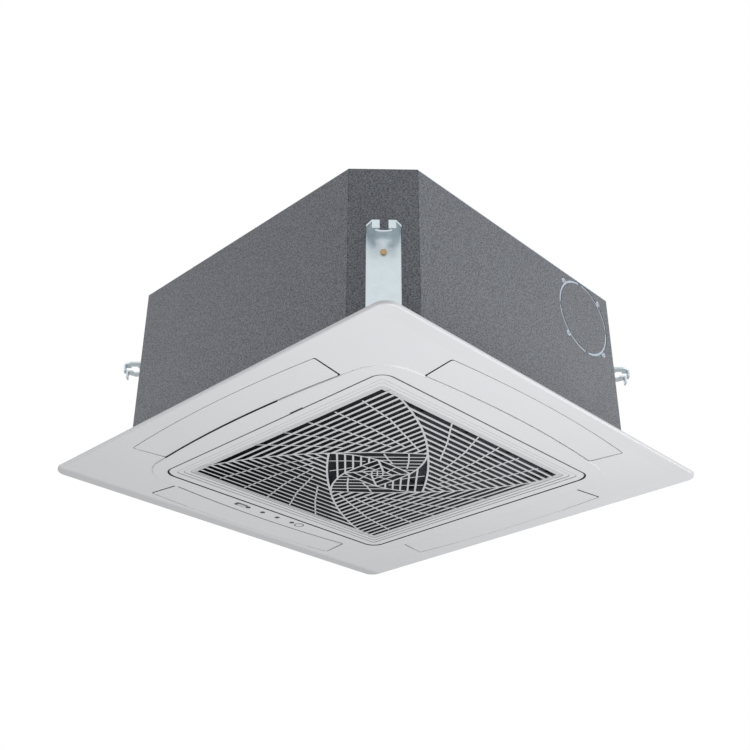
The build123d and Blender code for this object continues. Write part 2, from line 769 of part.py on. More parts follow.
with BuildPart() as drain_pump:
    with BuildSketch(Plane.XY.offset(bracket_level + 2)):
        with Locations((pump_x, pump_y)):
            Circle(pump_radius)
    extrude(amount=0.6 * pump_height)
    with BuildSketch(Plane.XY.offset(bracket_level + 2 + 0.6 * pump_height)):
        with Locations((pump_x, pump_y)):
            Circle(0.75 * pump_radius)
    extrude(amount=0.4 * pump_height)
    # suction pipe down into the trough
    with BuildSketch(Plane.XY.offset(trough_bottom + 3)):
        with Locations((pump_x, pump_y)):
            Circle(suction_radius)
            Circle(suction_radius - 1.5, mode=Mode.SUBTRACT)
    extrude(amount=bracket_level + 2 - trough_bottom - 3)
drain_pump.part.label = "drain_pump"
export_step(drain_pump.part, "parts/drain_pump.step")

with BuildPart() as float_guide:
    with BuildSketch(Plane.XY.offset(trough_bottom + 3)):
        with Locations((float_x, float_y)):
            Circle(float_stem)
    extrude(amount=bracket_level + 8 - trough_bottom - 3)
    with BuildSketch(Plane.XY.offset(trough_bottom + 3)):
        with Locations((float_x, float_y)):
            Circle(float_foot)
    extrude(amount=3)
float_guide.part.label = "float_guide"
export_step(float_guide.part, "parts/float_guide.step")

with BuildPart() as switch_float:
    with BuildSketch(Plane.XY.offset(trough_bottom + 6.3)):
        with Locations((float_x, float_y)):
            Circle(float_radius)
            Circle(float_stem + bearing_clearance, mode=Mode.SUBTRACT)
    extrude(amount=float_height)
switch_float.part.label = "switch_float"
export_step(switch_float.part, "parts/switch_float.step")

hose_start = bracket_level + 2 + pump_height
with BuildPart() as drain_hose:
    with BuildLine() as hose_path:
        Polyline(
            (pump_x, pump_y, hose_start),
            (pump_x, pump_y, drain_height - hose_corner),
            (pump_x - hose_corner, pump_y, drain_height),
            (-wall + 2, pump_y, drain_height),
        )
    with BuildSketch(Plane.XY.offset(hose_start)):
        with Locations((pump_x, pump_y)):
            RegularPolygon(hose_radius, hose_flats)
            RegularPolygon(hose_radius - hose_wall, hose_flats, mode=Mode.SUBTRACT)
    sweep(transition=Transition.RIGHT)
drain_hose.part.label = "drain_hose"
export_step(drain_hose.part, "parts/drain_hose.step")

drain_face = wall_plane(90 * drain_side, wall)
with BuildPart() as drain_outlet:
    with BuildSketch(drain_face):
        with Locations((drain_along, drain_height)):
            Circle(drain_radius + 9)
    extrude(amount=3)
    with BuildSketch(drain_face.offset(-14)):
        with Locations((drain_along, drain_height)):
            Circle(drain_radius)
    extrude(amount=14 + drain_reach)
    with BuildSketch(drain_face.offset(-14)):
        with Locations((drain_along, drain_height)):
            Circle(drain_radius - drain_wall)
    extrude(amount=14 + drain_reach, mode=Mode.SUBTRACT)
drain_outlet.part.label = "drain_outlet"
export_step(drain_outlet.part, "parts/drain_outlet.step")

# ------------------------------------------------------------------ refrigerant pipes and unions

pipe_level = pipe_height
pipe_y = coil_middle
pipe_corner = 16.0
union_start = 12.0
union_length = 16.0
pipe_face = wall_plane(90 * pipe_side, wall)
pipe_places = {
    "gas": (pipe_along + pipe_spacing / 2, gas_radius),
    "liquid": (pipe_along - pipe_spacing / 2, liquid_radius),
}

for name, (along, radius) in pipe_places.items():
    with BuildPart() as pipe:
        with BuildLine() as pipe_path:
            Polyline(
                (-along, pipe_y, coil_bottom + 14),
                (-along, pipe_y, pipe_level - pipe_corner),
                (-along, pipe_y + pipe_corner, pipe_level),
                (-along, wall + union_start, pipe_level),
            )
        with BuildSketch(Plane.XY.offset(coil_bottom + 14)):
            with Locations((-along, pipe_y)):
                RegularPolygon(radius, hose_flats)
                RegularPolygon(radius - pipe_wall, hose_flats, mode=Mode.SUBTRACT)
        sweep(transition=Transition.RIGHT)
    pipe.part.label = f"{name}_pipe"
    export_step(pipe.part, f"parts/{name}_pipe.step")

    with BuildPart() as union:
        with BuildSketch(pipe_face.offset(union_start)):
            with Locations((along, pipe_level)):
                RegularPolygon(1.35 * radius + 4, 6)
        extrude(amount=union_length)
        with BuildSketch(pipe_face.offset(union_start + union_length)):
            with Locations((along, pipe_level)):
                Circle(radius)
        extrude(amount=pipe_reach - union_start - union_length)
        with BuildSketch(pipe_face.offset(union_start)):
            with Locations((along, pipe_level)):
                Circle(radius - pipe_wall)
        extrude(amount=pipe_reach - union_start, mode=Mode.SUBTRACT)
    union.part.label = f"{name}_union"
    export_step(union.part, f"parts/{name}_union.step")

with BuildPart() as pipe_cover:
    with BuildSketch(pipe_face):
        with Locations((pipe_along, pipe_level)):
            RectangleRounded(pipe_slot_width + 22, pipe_slot_height + 16, 10)
        for along, radius in pipe_places.values():
            with Locations((along, pipe_level)):
                Circle(radius + 0.8, mode=Mode.SUBTRACT)
    extrude(amount=1.5)
pipe_cover.part.label = "pipe_cover"
export_step(pipe_cover.part, "parts/pipe_cover.step")

cable_face = wall_plane(90 * drain_side, wall)
grommet_flange = 3.0
cable_bore = 7.0
with BuildPart() as cable_grommet:
    with BuildSketch(cable_face):
        with Locations((cable_along, cable_height)):
            Circle(cable_hole_radius + grommet_flange)
    extrude(amount=2)
    with BuildSketch(cable_face.offset(-sheet)):
        with Locations((cable_along, cable_height)):
            Circle(cable_hole_radius)
    extrude(amount=sheet)
    with BuildSketch(cable_face.offset(-sheet)):
        with Locations((cable_along, cable_height)):
            Circle(cable_bore)
    extrude(amount=sheet + 2, mode=Mode.SUBTRACT)
cable_grommet.part.label = "cable_grommet"
export_step(cable_grommet.part, "parts/cable_grommet.step")

# ------------------------------------------------------------------ control box
# A folded tray under the inlet bell's plate, on side 3, closed from below by its cover.

box_half_length = 0.72 * bell_seat_half
box_depth = 46.0
box_sheet = 1.2
box_bottom = pan_bottom + 2.0
box_middle = -(bell_seat_half - 3 - box_depth / 2)
board_height = bell_bottom - 8.0

with BuildPart() as control_box:
    with BuildSketch(Plane.XY.offset(box_bottom)):
        with Locations((0, box_middle)):
            Rectangle(2 * box_half_length, box_depth)
    extrude(amount=bell_bottom - box_bottom)
    with BuildSketch(Plane.XY.offset(box_bottom)):
        with Locations((0, box_middle)):
            Rectangle(2 * (box_half_length - box_sheet), box_depth - 2 * box_sheet)
    extrude(amount=bell_bottom - box_sheet - box_bottom, mode=Mode.SUBTRACT)
control_box.part.label = "control_box"
export_step(control_box.part, "parts/control_box.step")

with BuildPart() as control_box_cover:
    with BuildSketch(Plane.XY.offset(box_bottom)):
        with Locations((0, box_middle)):
            Rectangle(2 * box_half_length + 4, box_depth)
    extrude(amount=-box_sheet)
control_box_cover.part.label = "control_box_cover"
export_step(control_box_cover.part, "parts/control_box_cover.step")

with BuildPart() as circuit_board:
    with BuildSketch(Plane.XY.offset(board_height)):
        with Locations((-0.12 * box_half_length, box_middle)):
            Rectangle(1.7 * box_half_length, box_depth - 8)
    extrude(amount=1.6)
    # transformer, capacitors and relays on its underside
    with BuildSketch(Plane.XY.offset(board_height)):
        with Locations((-0.75 * box_half_length, box_middle)):
            Rectangle(24, 28)
        with Locations((-0.35 * box_half_length, box_middle - 8), (-0.35 * box_half_length, box_middle + 8)):
            Circle(6)
        with Locations((0.05 * box_half_length, box_middle), (0.3 * box_half_length, box_middle)):
            Rectangle(14, 20)
    extrude(amount=-10)
circuit_board.part.label = "circuit_board"
export_step(circuit_board.part, "parts/circuit_board.step")

block_ways = 5
block_pitch = 6.0
with BuildPart() as terminal_block:
    with BuildSketch(Plane.XY.offset(box_bottom + 3)):
        with Locations((0.87 * box_half_length, box_middle)):
            Rectangle(16, block_ways * block_pitch)
    extrude(amount=12)
    with BuildSketch(Plane.XY.offset(box_bottom + 3)):
        with Locations((0.87 * box_half_length, box_middle)):
            with GridLocations(9, block_pitch, 2, block_ways):
                Rectangle(4, 4)
    extrude(amount=5, mode=Mode.SUBTRACT)
terminal_block.part.label = "terminal_block"
export_step(terminal_block.part, "parts/terminal_block.step")

# ------------------------------------------------------------------ panel frame
# Moulded front: a plate with a dished face, a raised ring round the intake and an opening for each louver. Its
# middle is thin, and the outlet frame and the intake collar stand on the back of it.

plate_skin = 2.6  # thickness of the thin middle
plate_back = plate_skin - panel_rim
spigot_seat = -duct_skin  # the collar stands in a shallow rebate of the rim
duct_inner = flap_inner - 4.5
duct_outer = spigot_half - spigot_wall
duct_half = flap_outer_half + flap_gap
duct_end = duct_half + collar_wall
bearing_end = duct_end + 2.0
bearing_boss = 4.5
opening_edge = grille_half + grille_gap
opening_corner = grille_corner + grille_gap
flap_outer_gap = 0.7
face_margin = 2.0
ring_corner = 55.0
ring_edge = flap_inner - flap_gap / 2
bow_radius = (flap_inner_half**2 + flap_bow**2) / (2 * flap_bow)
bow_middle = ring_edge + flap_bow - bow_radius
ring_vertex = (bow_middle + sqrt(2 * bow_radius**2 - bow_middle**2)) / 2
hinge_inset = 17.5  # the grille's hinge axis from its edge
hinge_y = grille_half - hinge_inset
hinge_z = -0.8
hinge_pin_radius = 1.5
hinge_pin_length = 10.0
corner_middle = grille_half - grille_corner
hinge_edge = corner_middle + sqrt(opening_corner**2 - (hinge_y - corner_middle) ** 2)
receiver_x = -(opening_edge + ring_edge) / 2
window_y = -62.0
lens_places = (-47.0, -17.0, 14.0, 46.0)
button_y = 62.0
window_size = (11.0, 22.0)
lens_radius = 1.6
button_radius = 2.2
notch_middle = 69.5
notch_length = 25.0
notch_reach = 1.6
notch_depth = 4.0


def finger_notch(height):
    """Outline of the notch beside the latch, through which a finger pulls it."""
    with BuildSketch(Plane.XY.offset(height)) as notch:
        with Locations((notch_middle, -opening_edge)):
            Rectangle(notch_length, 2 * notch_reach)
    return notch.sketch


with BuildPart() as panel_frame:
    extrude(rounded_square(panel_half, panel_corner, rim_bottom), amount=panel_rim)
    fillet(panel_frame.edges().group_by(Axis.Z)[0], 2)
    # the face slopes in from the edge, then lies flat
    loft(
        [
            rounded_square(panel_half - face_margin, panel_corner - face_margin, rim_bottom).face(),
            rounded_square(panel_half - dish_margin, panel_corner - face_margin, dish_bottom).face(),
        ],
        ruled=True,
        mode=Mode.SUBTRACT,
    )
    with BuildSketch(Plane.XY.offset(rim_bottom)) as ring:
        with BuildLine():
            corners = [(ring_vertex, -ring_vertex), (ring_vertex, ring_vertex)]
            corners += [(-ring_vertex, ring_vertex), (-ring_vertex, -ring_vertex)]
            reach = ring_edge + flap_bow
            middles = [(reach, 0), (0, reach), (-reach, 0), (0, -reach)]
            for n in range(4):
                ThreePointArc(corners[n], middles[n], corners[(n + 1) % 4])
        make_face()
        fillet(ring.vertices(), ring_corner)
    extrude(amount=dish_depth + 0.5)
    extrude(
        rounded_square(duct_outer, spigot_corner - spigot_wall, plate_back),
        amount=panel_rim,
        mode=Mode.SUBTRACT,
    )
    extrude(rounded_square(spigot_half, spigot_corner, spigot_seat), amount=panel_rim, mode=Mode.SUBTRACT)
    extrude(rounded_square(opening_edge, opening_corner, rim_bottom), amount=panel_rim, mode=Mode.SUBTRACT)
    for side in range(4):
        pocket = flap_outline(side_plane(side, rim_bottom), flap_gap, flap_outer_gap, flap_end_gap)
        extrude(pocket, amount=panel_rim - duct_skin, mode=Mode.SUBTRACT)
    extrude(finger_notch(rim_bottom), amount=plate_skin, mode=Mode.SUBTRACT)
    # receiver window, lamps and test button
    with BuildSketch(Plane.XY.offset(rim_bottom)):
        with Locations((receiver_x, window_y)):
            RectangleRounded(window_size[0], window_size[1], 3)
        with Locations(*[(receiver_x, y) for y in lens_places]):
            Circle(lens_radius)
        with Locations((receiver_x, button_y)):
            Circle(button_radius + 0.3)
    extrude(amount=plate_skin, mode=Mode.SUBTRACT)
panel_frame.part.label = "panel_frame"
export_step(panel_frame.part, "parts/panel_frame.step")

# ------------------------------------------------------------------ outlet frame
# An upright collar inside the ceiling opening, with the walls of the four air ducts and the louvers' bearings.

with BuildPart() as outlet_frame:
    extrude(rounded_square(spigot_half, spigot_corner, spigot_seat), amount=panel_top - spigot_seat)
    extrude(
        rounded_square(duct_outer, spigot_corner - spigot_wall, spigot_seat),
        amount=panel_top - spigot_seat,
        mode=Mode.SUBTRACT,
    )
    for side in range(4):
        with BuildSketch(side_plane(side, plate_back)):
            with Locations(((duct_inner - collar_wall + duct_outer) / 2, 0)):
                Rectangle(duct_outer - duct_inner + collar_wall, 2 * duct_end)
            with Locations(((duct_inner + duct_outer) / 2, 0)):
                Rectangle(duct_outer - duct_inner, 2 * duct_half, mode=Mode.SUBTRACT)
        extrude(amount=panel_top - plate_back)
        out = Vector(cos(radians(90 * side)), sin(radians(90 * side)), 0)
        along = Vector(-sin(radians(90 * side)), cos(radians(90 * side)), 0)
        for way in (-1, 1):
            seat = Plane(
                origin=out * flap_axis + along * (way * duct_half) + Vector(0, 0, flap_pin_height),
                x_dir=out,
                z_dir=along * way,
            )
            with BuildSketch(seat.offset(duct_end - duct_half)):
                Circle(bearing_boss)
            extrude(amount=bearing_end - duct_end)
            with BuildSketch(seat):
                Circle(flap_pin_radius + bearing_clearance)
            extrude(amount=bearing_end - duct_half, mode=Mode.SUBTRACT)
outlet_frame.part.label = "outlet_frame"
export_step(outlet_frame.part, "parts/outlet_frame.step")

# ------------------------------------------------------------------ intake collar
# A wall round the intake, with the bearings of the grille's hinge, and in its corners the lugs for the screws.

collar_edge = opening_edge + collar_wall
lug_reach = 36.0

with BuildPart() as intake_collar:
    extrude(rounded_square(collar_edge, opening_corner + collar_wall, plate_back), amount=panel_top - plate_back)
    extrude(
        rounded_square(opening_edge, opening_corner, plate_back),
        amount=panel_top - plate_back,
        mode=Mode.SUBTRACT,
    )
    with BuildSketch(Plane.YZ.offset(-collar_edge)):
        with Locations((hinge_y, hinge_z)):
            Circle(hinge_pin_radius + bearing_clearance)
    extrude(amount=2 * collar_edge, mode=Mode.SUBTRACT)
    extrude(finger_notch(plate_back), amount=notch_depth - plate_skin, mode=Mode.SUBTRACT)
    with BuildSketch(Plane.XY.offset(panel_top - panel_screw_lug)) as lugs:
        for x in (-1, 1):
            for y in (-1, 1):
                with BuildLine():
                    far = opening_edge + collar_wall / 2
                    Polyline(
                        (x * far, y * (far - lug_reach)),
                        (x * far, y * far),
                        (x * (far - lug_reach), y * far),
                        close=True,
                    )
                make_face()
        RectangleRounded(2 * far, 2 * far, opening_corner + collar_wall / 2, mode=Mode.INTERSECT)
        with GridLocations(2 * panel_screw_place, 2 * panel_screw_place, 2, 2):
            Circle(panel_screw_radius + 0.3, mode=Mode.SUBTRACT)
    extrude(amount=panel_screw_lug)
intake_collar.part.label = "intake_collar"
export_step(intake_collar.part, "parts/intake_collar.step")

# ------------------------------------------------------------------ panel gasket and screws
# Foam seal between the panel and the cabinet, open at the intake and over the four air outlets.

gasket_inner = opening_edge + 9.0
with BuildPart() as panel_gasket:
    with BuildSketch(Plane.XY.offset(panel_top)):
        RectangleRounded(2 * spigot_half, 2 * spigot_half, spigot_corner)
        RectangleRounded(2 * gasket_inner, 2 * gasket_inner, 12, mode=Mode.SUBTRACT)
        for side in range(4):
            spin = 90 * side
            place = (duct_inner + liner_inner) / 2
            with Locations(Location((place * cos(radians(spin)), place * sin(radians(spin))), spin)):
                Rectangle(liner_inner - duct_inner, 2 * outlet_half + 6, mode=Mode.SUBTRACT)
    extrude(amount=ceiling_gap - panel_top)
panel_gasket.part.label = "panel_gasket"
export_step(panel_gasket.part, "parts/panel_gasket.step")

with BuildPart() as panel_screws:
    with BuildSketch(Plane.XY.offset(panel_top - panel_screw_lug)):
        with GridLocations(2 * panel_screw_place, 2 * panel_screw_place, 2, 2):
            RegularPolygon(2 * panel_screw_radius, 6)
    extrude(amount=-3)
    with BuildSketch(Plane.XY.offset(panel_top - panel_screw_lug)):
        with GridLocations(2 * panel_screw_place, 2 * panel_screw_place, 2, 2):
            Circle(panel_screw_radius)
    extrude(amount=pan_bottom + panel_screw_depth - panel_top + panel_screw_lug)
panel_screws.part.label = "panel_screws"
export_step(panel_screws.part, "parts/panel_screws.step")

# ------------------------------------------------------------------ louvers and their motors
# Each louver hangs from two arms inside its duct and turns on a pin at each end. The motor's bore takes the
# longer pin.

arm_outer = duct_half - 9.0
arm_thickness = 3.0
arm_eye = 4.0
arm_foot = 13.0
louver_rib = 5.0
louver_rib_thickness = 1.6
motor_length = 18.0
louver_motor_radius = 12.0
shaft_offset = 8.0
drive_reach = 12.0

for side in range(4):
    out = Vector(cos(radians(90 * side)), sin(radians(90 * side)), 0)
    along = Vector(-sin(radians(90 * side)), cos(radians(90 * side)), 0)
    axis_point = out * flap_axis + Vector(0, 0, flap_pin_height)
    with BuildPart() as louver:
        extrude(flap_outline(side_plane(side, dish_bottom)), amount=flap_thickness)
        # stiffening rib
        with BuildSketch(side_plane(side, dish_bottom + flap_thickness)):
            with Locations((flap_axis, 0)):
                Rectangle(louver_rib_thickness, 2 * (arm_outer - arm_thickness))
        extrude(amount=louver_rib)
        for way in (-1, 1):
            face = Plane(origin=axis_point + along * (way * arm_outer), x_dir=out, z_dir=along * way)
            floor = dish_bottom + flap_thickness - flap_pin_height
            foot = -floor * way  # this plane's y direction points down where way is 1
            with BuildSketch(face):
                with BuildLine():
                    Polyline((-arm_foot, foot), (-arm_eye, 0), (arm_eye, 0), (arm_eye - 1, foot), close=True)
                make_face()
                Circle(arm_eye)
            extrude(amount=-arm_thickness)
            pin_end = bearing_end + drive_reach if way == 1 else bearing_end
            with BuildSketch(face):
                Circle(flap_pin_radius)
            extrude(amount=pin_end - arm_outer)
    louver.part.label = f"louver_{side + 1}"
    export_step(louver.part, f"parts/louver_{side + 1}.step")

    with BuildPart() as louver_motor:
        start = Plane(origin=axis_point + along * bearing_end, x_dir=out, z_dir=along)
        with BuildSketch(start):
            with Locations((-shaft_offset, 0)):
                Circle(louver_motor_radius)
        extrude(amount=motor_length)
        with BuildSketch(start):
            Circle(flap_pin_radius + bearing_clearance)
        extrude(amount=drive_reach + 0.5, mode=Mode.SUBTRACT)
    louver_motor.part.label = f"louver_motor_{side + 1}"
    export_step(louver_motor.part, f"parts/louver_motor_{side + 1}.step")

# ------------------------------------------------------------------ intake grille
# Bars in a whirl of nested squares. Each level is a square turned half a right angle from the one outside it.
# In every level four curved arms run from the corners of the square to the corners of the next one, and
# straight bars fill each quarter, parallel to its side.

whirl_scale = opening_half / 187.7  # the whirl is laid out for an opening of this half width
level_vertex = [whirl_scale * reach for reach in (99.5, 48.8, 11.5)]
level_bow = ((11.5, 4.0), (5.0, 1.5), (0.5, 0.0))
arm_start = (-197.0 * whirl_scale, 181.0 * whirl_scale)
bar_offsets = (
    [opening_half - 9.5 - bar_pitch * n for n in range(16)],
    [(58.9 - 11.5 * n) * whirl_scale for n in range(5)],
    [23.0 * whirl_scale, 11.5 * whirl_scale],
)
level_ribs = (
    [
        ((-194.5, 58), (-144.5, 10), (-97, -29)),
        ((-197, 0), (-139, -33), (-73.8, -60)),
        ((-197, -49), (-126, -69), (-50.6, -79)),
        ((-190, -100), (-110, -100), (-39, -92)),
        ((-190, -150), (-118, -137), (-15.8, -98)),
    ],
    [((-70.4, -43.6), (-44, -44.5), (-17.7, -43.1)), ((-70.4, -8), (-52, -14), (-35, -22))],
    [((-34.5, -3.2), (-24, -4.6), (-13, -7.3))],
)
bar_bottom = -3.0
grille_top = grille_face + grille_depth
face_steps = ((13.5, 0.6), (20.5, 1.2), (27.5, 1.8))  # inset from the grille's edge, and depth
border_floor = 2.4
border_wall = 2.5
crossing = 2.0
hinge_block = (19.0, 14.0)
hinge_block_inset = 12.5  # of its middle from the opening's edge
hinge_block_shift = 3.0  # of its middle from the pin's axis
whirl_reach = grille_half - face_steps[-1][0]
latch_width = 16.0
latch_height = 3.0
latch_reach = 0.6  # of the tongue past the grille's edge
latch_bottom = grille_face + face_steps[-1][1] + border_floor
tongue_clearance = 0.3


def bulged(start, end, bulge):
    """Arc from start to end, bowed to its right-hand side."""
    along_x, along_y = end[0] - start[0], end[1] - start[1]
    length = hypot(along_x, along_y)
    middle = (
        (start[0] + end[0]) / 2 + bulge * along_y / length,
        (start[1] + end[1]) / 2 - bulge * along_x / length,
    )
    if bulge == 0:
        return Line(start, end)
    return ThreePointArc(start, middle, end)


def whirl_quarter(level):
    """One quarter of a level, with its bars parallel to the left side of its square."""
    vertex = level_vertex[level]
    half = opening_half if level == 0 else level_vertex[level - 1] / sqrt(2)
    start = arm_start if level == 0 else (-half, half)
    finish = (-start[1], start[0])
    side_end, tip, next_tip = finish, (-vertex, 0), (0, -vertex)
    arm_bow, side_bow = level_bow[level]
    with BuildSketch() as quarter:
        with Locations(*[(-x, 0) for x in bar_offsets[level]]):
            Rectangle(bar_width if level == 0 else rib_width + 0.4, 3 * half)
        for rib in level_ribs[level]:
            with BuildLine():
                Polyline(*[(x * whirl_scale, y * whirl_scale) for x, y in rib])
            trace(line_width=rib_width)
        with BuildLine():
            bulged(start, tip, arm_bow)
            bulged(tip, next_tip, side_bow)
            bulged(side_end, next_tip, arm_bow)
            Line(side_end, start)
        make_face(mode=Mode.INTERSECT)
        with BuildLine():
            bulged(start, tip, arm_bow)
        trace(line_width=arm_width)
        with BuildLine():
            bulged(tip, next_tip, side_bow)
        trace(line_width=arm_width if level < 2 else crossing)
    return quarter.sketch


with BuildPart() as intake_grille:
    extrude(rounded_square(grille_half, grille_corner, grille_face), amount=grille_depth)
    fillet(intake_grille.edges().group_by(Axis.Z)[0], 0.8)
    for inset, depth in face_steps:
        extrude(rounded_square(grille_half - inset, 6, grille_face), amount=depth, mode=Mode.SUBTRACT)
    with BuildSketch(Plane.XY.offset(latch_bottom)) as border_hollow:
        hollow_outer = grille_half - border_wall
        hollow_inner = opening_half + border_wall
        RectangleRounded(2 * hollow_outer, 2 * hollow_outer, grille_corner - border_wall)
        Rectangle(2 * hollow_inner, 2 * hollow_inner, mode=Mode.SUBTRACT)
    extrude(amount=grille_depth, mode=Mode.SUBTRACT)
    with BuildSketch(Plane.XY.offset(grille_face)):
        Rectangle(2 * opening_half, 2 * opening_half)
    extrude(amount=grille_depth, mode=Mode.SUBTRACT)
    with BuildSketch(Plane.XY.offset(bar_bottom)) as whirl:
        for level in range(3):
            quarter = whirl_quarter(level)
            with PolarLocations(0, 4, start_angle=45 * level):
                add(quarter)
        with Locations(Rotation(0, 0, 45 * 3)):
            Rectangle(2 * level_vertex[2], crossing)
            Rectangle(crossing, 2 * level_vertex[2])
        # the bars run on over the lowest step of the border
        Rectangle(2 * whirl_reach, 2 * whirl_reach, mode=Mode.INTERSECT)
    extrude(amount=bar_depth)
    # solid blocks in two corners, with the hinge pins' bores
    for way in (-1, 1):
        with BuildSketch(Plane.XY.offset(grille_face + 2)):
            with Locations((way * (hinge_edge - hinge_block_inset), hinge_y - hinge_block_shift)):
                Rectangle(*hinge_block)
        extrude(amount=grille_depth - 2)
        with BuildSketch(Plane.YZ.offset(way * hinge_edge)):
            with Locations((hinge_y, hinge_z)):
                Circle(hinge_pin_radius)
        extrude(amount=-way * hinge_pin_length, mode=Mode.SUBTRACT)
    # the latch's way out through the edge
    with BuildSketch(Plane.XY.offset(latch_bottom)):
        with Locations((notch_middle, -grille_half + border_wall / 2)):
            Rectangle(latch_width + 2 * tongue_clearance, border_wall + 1)
    extrude(amount=latch_height + tongue_clearance, mode=Mode.SUBTRACT)
intake_grille.part.label = "intake_grille"
export_step(intake_grille.part, "parts/intake_grille.step")

# ------------------------------------------------------------------ grille pins, filter and latch
# The filter lies on the back of the grille and swings down with it.

with BuildPart() as grille_hinge_pins:
    for way in (-1, 1):
        with BuildSketch(Plane.YZ.offset(way * (hinge_edge + collar_wall + 1))):
            with Locations((hinge_y, hinge_z)):
                Circle(hinge_pin_radius)
        extrude(amount=-way * (hinge_pin_length + collar_wall))
grille_hinge_pins.part.label = "grille_hinge_pins"
export_step(grille_hinge_pins.part, "parts/grille_hinge_pins.step")

filter_half = opening_half + 4.0
filter_edge = 6.0
filter_height = 4.0
filter_rib = 2.5
filter_cells = 4
mesh_thickness = 0.8

with BuildPart() as filter_frame:
    with BuildSketch(Plane.XY.offset(grille_top)):
        Rectangle(2 * filter_half, 2 * filter_half)
        cell = (2 * filter_half - 2 * filter_edge - (filter_cells - 1) * filter_rib) / filter_cells
        with GridLocations(cell + filter_rib, cell + filter_rib, filter_cells, filter_cells):
            Rectangle(cell, cell, mode=Mode.SUBTRACT)
    extrude(amount=filter_height)
    with BuildSketch(Plane.XY.offset(grille_top + filter_height - mesh_thickness)):
        Rectangle(2 * (filter_half - filter_edge + 2), 2 * (filter_half - filter_edge + 2))
    extrude(amount=mesh_thickness, mode=Mode.SUBTRACT)
filter_frame.part.label = "filter_frame"
export_step(filter_frame.part, "parts/filter_frame.step")

with BuildPart() as filter_mesh:
    with BuildSketch(Plane.XY.offset(grille_top + filter_height - mesh_thickness)):
        Rectangle(2 * (filter_half - filter_edge + 2), 2 * (filter_half - filter_edge + 2))
    extrude(amount=mesh_thickness)
filter_mesh.part.label = "filter_mesh"
export_step(filter_mesh.part, "parts/filter_mesh.step")

# The latch slides in the hollow of the grille's border, and its tongue reaches through the edge.
latch_length = 20.0
latch_grip = 12.0

with BuildPart() as grille_latch:
    with BuildSketch(Plane.XY.offset(latch_bottom)):
        with Locations((notch_middle, -grille_half - latch_reach + latch_length / 2)):
            Rectangle(latch_width, latch_length)
    extrude(amount=latch_height)
    with BuildSketch(Plane.XY.offset(latch_bottom)):
        with Locations((notch_middle, -grille_half + latch_length - 6)):
            Rectangle(latch_grip, 3)
    extrude(amount=latch_height + 2)
grille_latch.part.label = "grille_latch"
export_step(grille_latch.part, "parts/grille_latch.step")

# ------------------------------------------------------------------ receiver window, lamps, test button
# They sit in the ring on side 2, with their board behind it.

receiver_top = plate_skin - panel_rim
button_travel = 1.0
button_cap = 1.4
board_gap = 6.0

with BuildPart() as receiver_window:
    with BuildSketch(Plane.XY.offset(rim_bottom + 0.2)):
        with Locations((receiver_x, window_y)):
            RectangleRounded(window_size[0], window_size[1], 3)
    extrude(amount=receiver_top - rim_bottom - 0.2)
    with BuildSketch(Plane.XY.offset(receiver_top)):
        with Locations((receiver_x, window_y)):
            Rectangle(window_size[0] + 2, window_size[1] + 2)
    extrude(amount=1.5)
receiver_window.part.label = "receiver_window"
export_step(receiver_window.part, "parts/receiver_window.step")

with BuildPart() as indicator_lenses:
    with BuildSketch(Plane.XY.offset(rim_bottom + 0.2)):
        with Locations(*[(receiver_x, y) for y in lens_places]):
            Circle(lens_radius)
    extrude(amount=receiver_top - rim_bottom - 0.2)
    with BuildSketch(Plane.XY.offset(receiver_top)):
        with Locations((receiver_x, (lens_places[0] + lens_places[-1]) / 2)):
            Rectangle(7, lens_places[-1] - lens_places[0] + 5)
    extrude(amount=1.5)
indicator_lenses.part.label = "indicator_lenses"
export_step(indicator_lenses.part, "parts/indicator_lenses.step")

with BuildPart() as test_button:
    with BuildSketch(Plane.XY.offset(rim_bottom - 0.2)):
        with Locations((receiver_x, button_y)):
            Circle(button_radius)
    extrude(amount=receiver_top - rim_bottom + 0.2)
    with BuildSketch(Plane.XY.offset(receiver_top)):
        with Locations((receiver_x, button_y)):
            Circle(button_radius + 1.5)
    extrude(amount=button_cap)
test_button.part.label = "test_button"
export_step(test_button.part, "parts/test_button.step")

board_bottom = receiver_top + board_gap
with BuildPart() as receiver_board:
    with BuildSketch(Plane.XY.offset(board_bottom)):
        with Locations((receiver_x, (window_y + button_y) / 2)):
            Rectangle(15, button_y - window_y + 30)
    extrude(amount=1.6)
    # what reaches down to the window, the lamps and the button
    with BuildSketch(Plane.XY.offset(receiver_top + 1.5)):
        with Locations((receiver_x, window_y), *[(receiver_x, y) for y in lens_places]):
            Rectangle(5, 5)
    extrude(amount=board_gap - 1.5)
    with BuildSketch(Plane.XY.offset(receiver_top + button_cap + button_travel + 0.2)):
        with Locations((receiver_x, button_y)):
            Rectangle(6, 6)
    extrude(amount=board_gap - button_cap - button_travel - 0.2)
receiver_board.part.label = "receiver_board"
export_step(receiver_board.part, "parts/receiver_board.step")
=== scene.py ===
from math import cos, radians, sin, sqrt

import bpy
from mathutils import Matrix, Vector


